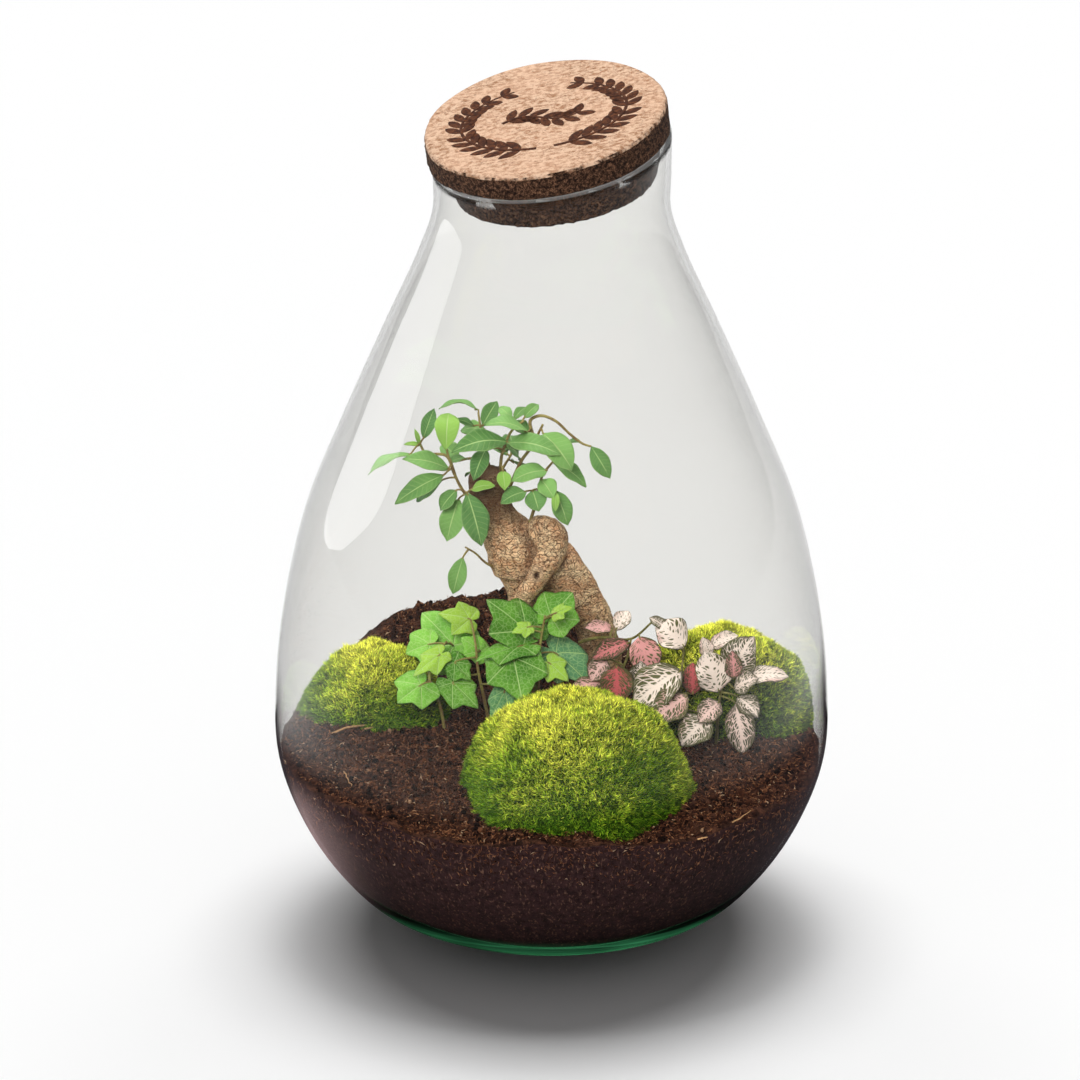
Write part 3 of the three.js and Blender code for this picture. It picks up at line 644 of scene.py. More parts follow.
@dataclass(frozen=True)
class StemFinish(Finish):
    """The thin bark or skin of a stem."""

    dark: Tint
    light: Tint

    def write(self, nodes: Nodes) -> None:
        """Writes the material's nodes."""
        skin = nodes.mottle(nodes.place(), 300.0, self.dark, self.light)
        nodes.surface(Base_Color=skin["Color"], Roughness=0.6, Normal=nodes.bump(skin["Height"], 0.0003))


@dataclass(frozen=True)
class BladeFinish(Finish):
    """The greens that every plant's leaves have."""

    dark: Tint
    light: Tint
    young: Tint
    patches: float

    def greens(self, nodes: Nodes) -> bpy.types.bpy_prop_collection:
        """The outputs of the shared leaf green: its colour, and the attribute's channels."""
        return nodes.group("Leaf Green", {"Leaf": nodes.attribute("leaf"), "Vector": nodes.place(),
                                          "Dark": self.dark, "Light": self.light, "Young": self.young,
                                          "Scale": self.patches})


@dataclass(frozen=True)
class FicusFinish(BladeFinish):
    """Glossy ficus leaves with a pale midrib and faint side veins."""

    dark: Tint = colour(62, 108, 58)
    light: Tint = colour(136, 186, 104)
    young: Tint = colour(150, 194, 80)
    patches: float = 60.0
    rib: Tint = colour(186, 214, 140)
    underside: Tint = colour(150, 182, 128)

    def write(self, nodes: Nodes) -> None:
        """Writes the material's nodes."""
        green = self.greens(nodes)
        across, along, _ = nodes.blade_axes()
        off = nodes.math("ABSOLUTE", nodes.scaled(across, 2.0, -1.0))
        wave = nodes.math("SINE", nodes.scaled(off, -9.0, nodes.times(along, 62.0)))
        rib, veins = nodes.between(off, 0.075, 0.02), nodes.between(wave, 0.8, 1.0)
        lines = nodes.most(nodes.times(rib, 0.8), nodes.times(veins, 0.22))
        edge = nodes.times(nodes.between(off, 0.90, 1.0), 0.35)
        body = nodes.blend(nodes.most(lines, edge), green["Color"], self.rib)
        body = nodes.blend(nodes.times(green["Under"], 0.45), body, self.underside)
        nodes.surface(Base_Color=body, Roughness=0.36, Specular_IOR_Level=0.5,
                      Normal=nodes.bump(nodes.left(lines), 0.0004, 0.6))


@dataclass(frozen=True)
class IvyFinish(BladeFinish):
    """Ivy leaves with pale veins that spread from the stalk, and a fine net between them."""

    dark: Tint = colour(40, 112, 22)
    light: Tint = colour(142, 208, 78)
    young: Tint = colour(176, 214, 78)
    patches: float = 70.0
    vein: Tint = colour(196, 228, 148)
    blue: Tint = colour(92, 142, 96)

    def write(self, nodes: Nodes) -> None:
        """Writes the material's nodes."""
        green = self.greens(nodes)
        around, reach, _ = nodes.blade_axes()
        turn = nodes.math("ABSOLUTE", nodes.scaled(around, 360.0, -180.0))
        lines: object = 0.0
        for lobe in IVY_LOBES:
            apart = nodes.math("ABSOLUTE", nodes.math("SUBTRACT", turn, lobe))
            sideways = nodes.times(nodes.times(apart, math.pi / 180), reach)
            lines = nodes.most(lines, nodes.between(sideways, 0.022, 0.006))
        net = nodes.cells(nodes.place(), 480.0, "DISTANCE_TO_EDGE")
        fine = nodes.times(nodes.between(net, 0.10, 0.01), 0.34)
        marks = nodes.most(nodes.times(lines, 0.75), fine)
        body = nodes.blend(nodes.between(green["Under"], 0.2, 0.9), green["Color"], self.blue)
        nodes.surface(Base_Color=nodes.blend(marks, body, self.vein), Roughness=0.36,
                      Normal=nodes.bump(nodes.left(marks), 0.0006, 0.7))


@dataclass(frozen=True)
class FittoniaFinish(BladeFinish):
    """Fittonia leaves: white or pink veins that run out from the midrib, with dark cells between them.

    The attribute's green says how wide the veins are, and its blue how red they are.
    """

    dark: Tint = colour(58, 58, 34)
    light: Tint = colour(98, 98, 60)
    young: Tint = colour(98, 98, 60)
    patches: float = 200.0
    white: Tint = colour(242, 224, 210)
    pink: Tint = colour(222, 156, 152)
    red: Tint = colour(186, 88, 90)
    rows: float = 9.0
    slant: float = -0.36

    def write(self, nodes: Nodes) -> None:
        """Writes the material's nodes."""
        shade, breadth, redness = nodes.channels("leaf")
        across, along, _ = nodes.blade_axes()
        side = nodes.scaled(across, 2.0, -1.0)
        off = nodes.math("ABSOLUTE", side)
        outwards = nodes.scaled(nodes.math("POWER", off, 1.3), self.slant, along)
        cells = nodes.add("CombineXYZ", {0: nodes.times(side, 2.0), 1: nodes.times(outwards, self.rows),
                                         2: nodes.times(shade, 37.0)}).outputs[0]
        net = nodes.cells(nodes.warped(cells, 0.32, 1.4, 1.0), 1.5, "DISTANCE_TO_EDGE")
        width = nodes.scaled(off, -0.15, nodes.scaled(breadth, 0.16, 0.135))
        veins = nodes.ramp(net, nodes.math("ADD", width, 0.045), width, 0.0, 1.0)
        lines = nodes.most(veins, nodes.between(off, 0.16, 0.05))
        lines = nodes.times(lines, nodes.between(off, 1.0, 0.94))
        pale = nodes.blend(nodes.between(redness, 0.25, 0.6), self.white, self.pink)
        pale = nodes.blend(nodes.between(redness, 0.65, 1.0), pale, self.red)
        flush = nodes.times(nodes.between(nodes.noise(nodes.place(), 90.0), 0.48, 0.7), 0.6)
        pale = nodes.blend(nodes.times(flush, nodes.between(off, 0.2, 1.0)), pale, self.pink)
        nodes.surface(Base_Color=nodes.blend(lines, self.greens(nodes)["Color"], pale), Roughness=0.5,
                      Normal=nodes.bump(nodes.left(nodes.times(lines, 0.8)), 0.0005, 0.7))


@dataclass(frozen=True)
class FloorFinish(Finish):
    """A plain matt white floor; in mirror images it is painted dark near the jar as painted shade, with a painted
    sheen at its left.
    """

    white: Tint = (0.97, 0.97, 0.97, 1.0)
    # What the glass mirrors of the floor is painted: grey further off, painted shade near the jar, and a reddish
    # painted sheen at its left that stands for the lit floor there.
    mirrored: Tint = (0.82, 0.82, 0.82, 1.0)
    painted_shade_near: Tint = (0.05, 0.04, 0.045, 1.0)
    near: tuple[float, float] = (0.26, 0.44)
    painted_sheen: Tint = (0.40, 0.28, 0.28, 1.0)
    painted_sheen_at: Point = (-0.15, 0.02, 0.0)
    painted_sheen_reach: tuple[float, float] = (0.11, 0.03)
    right_nearer: float = -0.07

    def write(self, nodes: Nodes) -> None:
        """Writes the material's nodes."""
        place = nodes.place()
        right = nodes.between(nodes.axes(place)[0], -0.1, 0.1)
        away = nodes.scaled(right, self.right_nearer, nodes.distance(place, (0.0, 0.0, 0.0)))
        aside = nodes.distance(place, self.painted_sheen_at)
        # The painted shade near the jar, with the painted sheen at its left.
        close = nodes.blend(nodes.between(aside, *self.painted_sheen_reach), self.painted_shade_near, self.painted_sheen)
        mirrored = nodes.blend(nodes.between(away, *self.near), close, self.mirrored)
        mirrored = nodes.blend(1.0, mirrored, nodes.outer_mirror_share(), "MULTIPLY")
        body = nodes.blend(nodes.mirror_share(), self.white, mirrored)
        nodes.surface(Base_Color=body, Roughness=1.0, Specular_IOR_Level=0.0)


GLASS = GlassFinish("clear_glass")
CORK = CorkFinish("pressed_cork")
BURNT = BurntFinish("burnt_cork")
SOIL = SoilFinish("potting_soil")
CRUMBS = CrumbFinish("soil_crumbs")
MOSS = MossFinish("moss_blades")
BARK = BarkFinish("ficus_bark")
FICUS = FicusFinish("ficus_blade")
IVY = IvyFinish("ivy_blade")
FITTONIA = FittoniaFinish("fittonia_blade")
FICUS_TWIG = StemFinish("ficus_twig", colour(122, 96, 62), colour(162, 150, 90))
IVY_STEM = StemFinish("ivy_stem", colour(128, 98, 66), colour(150, 150, 80))
FITTONIA_STEM = StemFinish("fittonia_stem", colour(88, 84, 44), colour(140, 134, 74))


# ---------------------------------------------------------------- Forms


def new_mesh(name: str, bm: bmesh.types.BMesh) -> bpy.types.Mesh:
    """Turns a bmesh into a mesh and frees it.

    Args:
        name: The mesh's name.
        bm: The bmesh.

    Returns:
        The mesh.
    """
    mesh = bpy.data.meshes.new(name)
    bm.to_mesh(mesh)
    bm.free()
    return mesh


class Form:
    """A shape in millimetres that is built up with bmesh operators and ends as one piece."""

    def __init__(self, attribute: str = "") -> None:
        """Starts empty, with a UV map and, if asked, a colour attribute of that name."""
        self.bm = bmesh.new()
        self.uv = self.bm.loops.layers.uv.new("blade")
        self.paint = self.bm.loops.layers.float_color.new(attribute) if attribute else None

    def dye(self, tint: Tint, faces: Iterable[bmesh.types.BMFace] | None = None) -> None:
        """Gives faces one colour in the form's attribute.

        Args:
            tint: The colour.
            faces: The faces, or all of them if it isn't given.
        """
        for face in self.bm.faces if faces is None else faces:
            for loop in face.loops:
                loop[self.paint] = tint

    def circle(self, centre: Vector, turn: Matrix, radius: float, sides: int) -> list:
        """The edges of a new ring.

        Args:
            centre: Its middle.
            turn: The rotation that takes +Z along the ring's axis.
            radius: Its radius.
            sides: How many edges it has.

        Returns:
            The ring's edges.
        """
        matrix = Matrix.Translation(centre) @ turn.to_4x4()
        made = bmesh.ops.create_circle(self.bm, radius=radius, segments=sides, matrix=matrix)
        return list(dict.fromkeys(edge for vert in made["verts"] for edge in vert.link_edges))

    def tube(self, path: Sequence[Vector], radii: Sequence[float], sides: int = 8, finish: int = 1) -> None:
        """Adds a closed tapered tube.

        Args:
            path: The points of its middle line.
            radii: Radii that are spread evenly along it.
            sides: Facets round it.
            finish: The number of its material.
        """
        side = Vector((0.31, 0.87, 0.12))
        rings = []
        for number, centre in enumerate(path):
            along = (path[min(number + 1, len(path) - 1)] - path[max(number - 1, 0)]).normalized()
            side = (side - along * side.dot(along)).normalized()
            turn = Matrix((side, along.cross(side), along)).transposed()
            place = number / (len(path) - 1) * (len(radii) - 1)
            lower = min(int(place), len(radii) - 2)
            radius = mix(radii[lower], radii[lower + 1], place - lower)
            rings.append(self.circle(centre, turn, radius, sides))
        known = set(self.bm.faces)
        for ring, following in zip(rings, rings[1:]):
            bmesh.ops.bridge_loops(self.bm, edges=ring + following)
        for ring in (rings[0], rings[-1]):
            bmesh.ops.edgeloop_fill(self.bm, edges=ring)
        faces = [face for face in self.bm.faces if face not in known]
        bmesh.ops.recalc_face_normals(self.bm, faces=faces)
        for face in faces:
            face.material_index = finish

    def sheet(self, size: tuple[int, int], shape: Callable, thickness: float, tint: Tint) -> None:
        """Adds a thin closed blade.

        Args:
            size: Cells across and along.
            shape: The place of a point from its share across and along, from 0 to 1 each.
            thickness: How thick the blade is.
            tint: The colour that its attribute holds.
        """
        known = set(self.bm.faces)
        made = bmesh.ops.create_grid(self.bm, x_segments=size[0], y_segments=size[1], size=1.0,
                                     calc_uvs=True)
        for vert in made["verts"]:
            vert.co = shape(vert.co.x / 2 + 0.5, vert.co.y / 2 + 0.5)
        upper = [face for face in self.bm.faces if face not in known]
        bmesh.ops.solidify(self.bm, geom=upper, thickness=thickness)
        faces = [face for face in self.bm.faces if face not in known]
        verts = list(dict.fromkeys(vert for face in faces for vert in face.verts))
        bmesh.ops.remove_doubles(self.bm, verts=verts, dist=0.02)
        faces = [face for face in self.bm.faces if face not in known]
        bmesh.ops.recalc_face_normals(self.bm, faces=faces)
        self.dye(tint, faces)

    def turned(self, profile: Sequence[Vector], steps: int) -> None:
        """Spins a profile of (radius, height) points, from axis to axis, all the way round."""
        verts = [self.bm.verts.new((point.x, 0.0, point.y)) for point in profile]
        edges = [self.bm.edges.new(pair) for pair in zip(verts, verts[1:])]
        bmesh.ops.spin(self.bm, geom=verts + edges, axis=(0, 0, 1), cent=(0, 0, 0), steps=steps,
                       angle=math.tau)
        self.bm.verts.index_update()
        # The operator's order of faces changes from run to run, and spots are picked in that order.
        self.bm.faces.sort(key=lambda face: min(vert.index for vert in face.verts))
        bmesh.ops.remove_doubles(self.bm, verts=list(self.bm.verts), dist=1e-3)
        bmesh.ops.recalc_face_normals(self.bm, faces=list(self.bm.faces))

    def finish(self, name: str, finishes: Sequence[Finish]) -> bpy.types.Object:
        """Turns the form into a piece in metres, shaded smooth.

        Args:
            name: The piece's name.
            finishes: Its materials.

        Returns:
            The piece, linked to the scene.
        """
        bmesh.ops.scale(self.bm, vec=(MM, MM, MM), verts=list(self.bm.verts))
        return new_piece(name, new_mesh(name, self.bm), finishes)


def new_piece(name: str, mesh: bpy.types.Mesh, finishes: Sequence[Finish],
              smooth: bool = True) -> bpy.types.Object:
    """Links a mesh to the scene as a piece that rides on the terrarium.

    Args:
        name: The piece's name.
        mesh: Its mesh, in metres.
        finishes: Its materials.
        smooth: Whether its faces are shaded smooth.

    Returns:
        The new object.
    """
    for finish in finishes:
        mesh.materials.append(finish.material())
    mesh.polygons.foreach_set("use_smooth", [smooth] * len(mesh.polygons))
    piece = bpy.data.objects.new(name, mesh)
    bpy.context.scene.collection.objects.link(piece)
    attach(piece, BODY)
    LOG.info("%s: %d faces", name, len(mesh.polygons))
    return piece


def settle(piece: bpy.types.Object) -> None:
    """Applies a piece's modifiers to its mesh.

    Args:
        piece: The piece, which keeps no modifier.
    """
    view = bpy.context.evaluated_depsgraph_get()
    mesh = bpy.data.meshes.new_from_object(piece.evaluated_get(view))
    piece.modifiers.clear()
    piece.data = mesh


@dataclass
class Spots:
    """Places on a surface: points, and the surface's normals there."""

    points: np.ndarray
    normals: np.ndarray

    @classmethod
    def on(cls, mesh: bpy.types.Mesh, count: int, rng: np.random.Generator) -> "Spots":
        """Picks places evenly over a mesh.

        Args:
            mesh: The surface, of triangles.
            count: How many places.
            rng: The seeded random numbers.

        Returns:
            The places, in the mesh's own units.
        """
        mesh.calc_loop_triangles()
        corners = np.zeros(len(mesh.loop_triangles) * 3, np.int32)
        mesh.loop_triangles.foreach_get("vertices", corners)
        points = np.zeros(len(mesh.vertices) * 3)
        mesh.vertices.foreach_get("co", points)
        a, b, c = points.reshape(-1, 3)[corners.reshape(-1, 3)].transpose(1, 0, 2)
        normals = np.cross(b - a, c - a)
        areas = np.linalg.norm(normals, axis=1)
        picked = rng.choice(len(areas), count, p=areas / areas.sum())
        u, v = rng.random((2, count, 1))
        over = u + v > 1
        u, v = np.where(over, 1 - u, u), np.where(over, 1 - v, v)
        spots = a[picked] + (b - a)[picked] * u + (c - a)[picked] * v
        return cls(spots, normals[picked] / areas[picked][:, None])

    def kept(self, mask: np.ndarray | slice) -> "Spots":
        """The places where the mask is true, or up to a slice's end."""
        return Spots(self.points[mask], self.normals[mask])


def scattered(count: int, rng: np.random.Generator) -> np.ndarray:
    """Unit vectors in every direction."""
    return unit(rng.normal(size=(count, 3)))


def even(tints: np.ndarray) -> Callable[[np.ndarray], np.ndarray]:
    """Paint for stamped copies that each have one colour all over."""
    return lambda heights: np.repeat(tints[:, None, :], len(heights), axis=1)


def turned_to(directions: np.ndarray, spins: np.ndarray) -> np.ndarray:
    """Rotations that take +Z along each direction, after a spin about it.

    Args:
        directions: Unit vectors.
        spins: Angles in radians.

    Returns:
        A 3 by 3 matrix for each.
    """
    hint = np.where(np.abs(directions[:, 2:]) > 0.9, [[1.0, 0.0, 0.0]], [[0.0, 0.0, 1.0]])
    x = unit(np.cross(hint, directions))
    y = np.cross(directions, x)
    cosine, sine = np.cos(spins)[:, None], np.sin(spins)[:, None]
    return np.stack([x * cosine + y * sine, y * cosine - x * sine, directions], axis=2)


def stamped(name: str, stamp: bmesh.types.BMesh, places: np.ndarray, turns: np.ndarray, sizes: np.ndarray,
            paint: Callable[[np.ndarray], np.ndarray], attribute: str,
            fit: Callable[[np.ndarray], np.ndarray] | None = None) -> bpy.types.Mesh:
    """A mesh with a copy of a small shape at each place.

    Args:
        name: The mesh's name.
        stamp: The small shape, of triangles.
        places: Where each copy goes.
        turns: Its rotation.
        sizes: Its three sizes.
        paint: The colours of the copies' points from their heights in the stamp.
        attribute: The name of the colour attribute.
        fit: Moves the finished points, to keep them within bounds.

    Returns:
        The mesh, in metres.
    """
    stamp.verts.ensure_lookup_table()
    shape = np.array([vert.co for vert in stamp.verts])
    corners = np.array([[vert.index for vert in face.verts] for face in stamp.faces])
    stamp.free()
    points = np.einsum("nij,nkj->nki", turns, shape[None] * sizes[:, None, :]) + places[:, None, :]
    tints = paint(shape[:, 2]).reshape(-1, 4)
    points = points.reshape(-1, 3)
    if fit is not None:
        points = fit(points)
    every = (corners[None] + (np.arange(len(places)) * len(shape))[:, None, None]).reshape(-1)
    mesh = bpy.data.meshes.new(name)
    mesh.vertices.add(len(points))
    mesh.vertices.foreach_set("co", (points * MM).astype(np.float32).ravel())
    mesh.loops.add(len(every))
    mesh.loops.foreach_set("vertex_index", every.astype(np.int32))
    mesh.polygons.add(len(every) // 3)
    mesh.polygons.foreach_set("loop_start", np.arange(0, len(every), 3, dtype=np.int32))
    mesh.update(calc_edges=True)
    layer = mesh.color_attributes.new(attribute, "FLOAT_COLOR", "POINT")
    layer.data.foreach_set("color", tints.astype(np.float32).ravel())
    return mesh


# ---------------------------------------------------------------- Jar


@dataclass
class Jar:
    """The blown glass jar, with its slanted rim."""

    outside: tuple = ((50, 0), (62, 4), (88.5, 14), (104.5, 30), (119.4, 54), (129.6, 84), (129.9, 119),
                      (125.2, 158), (114.6, 203), (96.8, 247), (76.9, 292), (61, 327), (54.4, 347))
    floor: tuple = ((0, 8), (55, 8.5), (74, 10.5), (86.5, 15))
    foot_ring: tuple[float, float] = (42, 50)
    foot_dish: float = 2.5
    wall_from: float = 29.0
    wall_at_belly: float = 1.3
    wall_at_neck: float = 2.7
    wall_swell: tuple[float, float] = (130, 330)
    rim_height: float = 376.0
    rim_slope: tuple[float, float] = (0.15, 0.165)
    lip: float = 1.1
    steps: int = 144

    def __post_init__(self) -> None:
        """Works out the smooth inside and outside, as lists of radii and heights."""
        neck = self.outside[-1][0]
        self.outer = smooth_path([*self.outside, (neck, 366), (neck, 400)], 8)
        inside = []
        neighbours = zip(self.outer[:1] + self.outer, self.outer, self.outer[1:] + self.outer[-1:])
        for before, point, after in neighbours:
            slope = (after.x - before.x) / (after.y - before.y)
            if point.y > self.wall_from:
                inside.append((point.x - self.wall(point.y) * math.hypot(1, slope), point.y))
        bowl = smooth_path([*self.floor, *inside[:: 8][:2]], 8)
        self.inner = [p for p in bowl if p.y < inside[0][1]] + [Vector((r, z, 0)) for r, z in inside]
        self.inner_z = np.array([p.y for p in self.inner])
        self.inner_r = np.array([p.x for p in self.inner])

    def wall(self, height: float) -> float:
        """How thick the glass is at a height."""
        return mix(self.wall_at_belly, self.wall_at_neck, smoothstep(height, *self.wall_swell))

    def inside_radius(self, height: float | np.ndarray) -> float | np.ndarray:
        """The radius of the inside of the glass at a height."""
        return np.interp(height, self.inner_z, self.inner_r)

    def rim_turn(self) -> Matrix:
        """The rotation from upright to square to the rim."""
        up = Vector((-self.rim_slope[0], -self.rim_slope[1], 1)).normalized()
        return Vector((0, 0, 1)).rotation_difference(up).to_matrix()

    def kept_inside(self, points: np.ndarray, gap: float = 0.5) -> np.ndarray:
        """Points drawn in so that they stay a gap clear of the glass."""
        reach = np.hypot(points[:, 0], points[:, 1])
        limit = self.inside_radius(points[:, 2]) - gap
        share = np.where(reach > limit, limit / np.maximum(reach, 1e-6), 1.0)
        return points * np.stack([share, share, np.ones_like(share)], axis=1)

    def build(self) -> None:
        """Spins the jar, cuts its rim and rounds its lip."""
        form = Form()
        foot = [(0, self.foot_dish), (20, self.foot_dish), (self.foot_ring[0] - 3, self.foot_dish),
                (self.foot_ring[0], 0)]
        profile = [Vector((*point, 0)) for point in foot] + self.outer + self.inner[::-1]
        form.turned(profile, self.steps)
        normal = self.rim_turn() @ Vector((0, 0, 1))
        bmesh.ops.bisect_plane(form.bm, geom=[*form.bm.verts, *form.bm.edges, *form.bm.faces],
                               plane_co=(0, 0, self.rim_height), plane_no=normal, clear_outer=True)
        rim = [edge for edge in form.bm.edges if edge.is_boundary]
        bmesh.ops.bridge_loops(form.bm, edges=rim)
        bmesh.ops.bevel(form.bm, geom=rim, offset=self.lip, segments=3, profile=0.5, affect="EDGES",
                        material=-1)
        bmesh.ops.recalc_face_normals(form.bm, faces=list(form.bm.faces))
        piece = form.finish("blown_glass_jar", [GLASS])
        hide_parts("glass_jar")


# ---------------------------------------------------------------- Cork


@dataclass
class Cork:
    """The cork stopper, and the wreath of leaves that is burnt into its top."""

    jar: Jar
    radius: float = 56.0
    thickness: float = 12.0
    plug_radii: tuple[float, float] = (50.4, 46.6)
    plug_length: float = 18.0
    gap: float = 0.35
    extra: float = 3.1
    slope: tuple[float, float] = (0.028, 0.05)
    cap_shift: float = -1.5
    steps: int = 180
    wreath_radius: float = 38.0
    wreath_leaves: int = 13
    sprig_leaves: int = 7

    def set_down(self, bm: bmesh.types.BMesh) -> None:
        """Turns and lifts a form from the stopper's own frame to its place on the rim."""
        verts = list(bm.verts)
        bmesh.ops.rotate(bm, cent=(0, 0, 0), matrix=self.jar.rim_turn(), verts=verts)
        bmesh.ops.translate(bm, vec=(0, 0, self.jar.rim_height), verts=verts)

    def worn(self, at: Vector) -> Vector:
        """A point of the cork, moved by its crumbly wear."""
        turn, reach = math.atan2(at.y, at.x), math.hypot(at.x, at.y)
        round_off = 1 + 0.006 * math.sin(3 * turn + 0.11 * at.z) + 0.004 * math.sin(7 * turn + 1.7)
        edge = smoothstep(reach, 40, 47)
        crumbs = noise.noise(at * 0.22) * 0.5 + noise.noise(at * 0.6 + Vector((7, 3, 1))) * 0.45
        crumbs += noise.noise(at * 1.3) * 0.25
        lift = 0.12 * crumbs * edge
        if at.z < 2 - self.plug_length:
            waves = 0.1 * math.sin(5 * turn) + 0.1 * math.sin(11 * turn)
            lift = (waves + 0.8 * noise.noise(at * 0.4)) * edge
        elif at.z < self.gap + 1:
            lift = 0.0
        elif at.z > self.thickness - 2:
            lift = 0.35 * crumbs * smoothstep(reach, 50, 55)
        pull = round_off - 0.011 * edge * (0.5 + crumbs)
        wedge = max(at.z - self.gap, 0) / self.thickness * self.wedge(at)
        shift = self.cap_shift if at.z > self.gap or reach > self.plug_radii[0] + 1 else 0.0
        return Vector((at.x * pull + shift, at.y * pull, at.z + lift + wedge))

    def wedge(self, at: Vector) -> float:
        """How much higher than its even thickness the cap's slanted top is at a point."""
        return self.extra + self.slope[0] * at.x + self.slope[1] * at.y

    def build_body(self) -> None:
        """Turns the cap and plug on one axis, and wears their edges."""
        top = self.thickness + self.gap
        plug_top, plug_end = self.plug_radii
        foot, cap = -self.plug_length, self.gap
        corners = [(0, foot), (30, foot), (plug_end - 3, foot), (plug_end - 0.8, foot + 0.4),
                   (plug_end, foot + 1.8), (mix(plug_end, plug_top, 0.5), mix(foot, cap, 0.5)),
                   (plug_top, cap - 0.1), (plug_top + 0.4, cap), (self.radius - 1.4, cap),
                   (self.radius - 0.3, cap + 0.5), (self.radius, cap + 1.6), (self.radius, top - 1.9),
                   (self.radius - 0.5, top - 0.7), (self.radius - 1.8, top), (30, top), (0, top)]
        profile = []
        for (r0, z0), (r1, z1) in zip(corners, corners[1:]):
            parts = max(1, round(math.hypot(r1 - r0, z1 - z0) / 1.1))
            shares = [step / parts for step in range(parts)]
            profile += [Vector((mix(r0, r1, share), mix(z0, z1, share), 0)) for share in shares]
        form = Form("cork")
        form.turned([*profile, Vector((*corners[-1], 0))], self.steps)
        for face in form.bm.faces:
            height = face.calc_center_median().z
            form.dye((1 - smoothstep(height, top - 2.4, top - 0.4), 0, 0, 1), [face])
        for vert in form.bm.verts:
            vert.co = self.worn(vert.co)
        self.set_down(form.bm)
        piece = form.finish("pressed_cork_stopper", [CORK])
        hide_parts("cork_stopper")

    def build_wreath(self) -> None:
        """Lays a wreath of two leafy sprigs on the cork's top, with a small sprig in its middle."""
        top = self.thickness + self.gap
        form = Form("cork")
        bows = []
        for mirror in (1, -1):
            bow = [math.radians(mix(-84, 70, k / 30)) for k in range(31)]
            bows.append([Vector((mirror * self.wreath_radius * math.cos(a),
                                 0.8 * self.wreath_radius * math.sin(a), 0)) for a in bow])
        bows.append([Vector((mix(-19, 17, k / 30), 3.5 * math.sin(k / 4.8) - 1, 0)) for k in range(31)])
        counts = (self.wreath_leaves, self.wreath_leaves, self.sprig_leaves)
        for stem, leaves, length in zip(bows, counts, (11.5, 11.5, 10.5)):
            form.tube(stem, (1.1, 0.6), 6, 0)
            for number in range(leaves):
                spot = 2 + number * 26 // (leaves - 1)
                ahead = (stem[spot + 1] - stem[spot]).normalized()
                for side in (1, -1):
                    self.wreath_leaf(form, stem[spot], ahead, side, length * (1 - 0.025 * number))
        for vert in form.bm.verts:
            vert.co.z = top + self.wedge(vert.co) + 0.05 + 0.2 * vert.co.z
            vert.co.x += self.cap_shift
        self.set_down(form.bm)
        piece = form.finish("burnt_leaf_wreath", [BURNT])

    def wreath_leaf(self, form: Form, root: Vector, ahead: Vector, side: int, length: float) -> None:
        """Adds one flat leaf to a sprig.

        Args:
            form: The wreath.
            root: Where it leaves the sprig.
            ahead: The sprig's direction there.
            side: 1 for its left side, -1 for its right.
            length: How long it is.
        """
        out = Vector((-ahead.y, ahead.x, 0)) * side
        along = (ahead * 0.75 + out * 0.66).normalized()
        across = Vector((-along.y, along.x, 0))

        def shape(wide: float, far: float) -> Vector:
            half = 2.3 * math.sin(math.pi * min(far * 0.98 + 0.02, 1)) ** 0.7
            return root + along * (far * length + 0.6) + across * (wide * 2 - 1) * half

        form.sheet((4, 10), shape, 0.3, (1, 0, 0, 1))

    def build(self) -> None:
        """Builds the stopper and its ornament."""
        self.build_body()
        self.build_wreath()


# ---------------------------------------------------------------- Soil


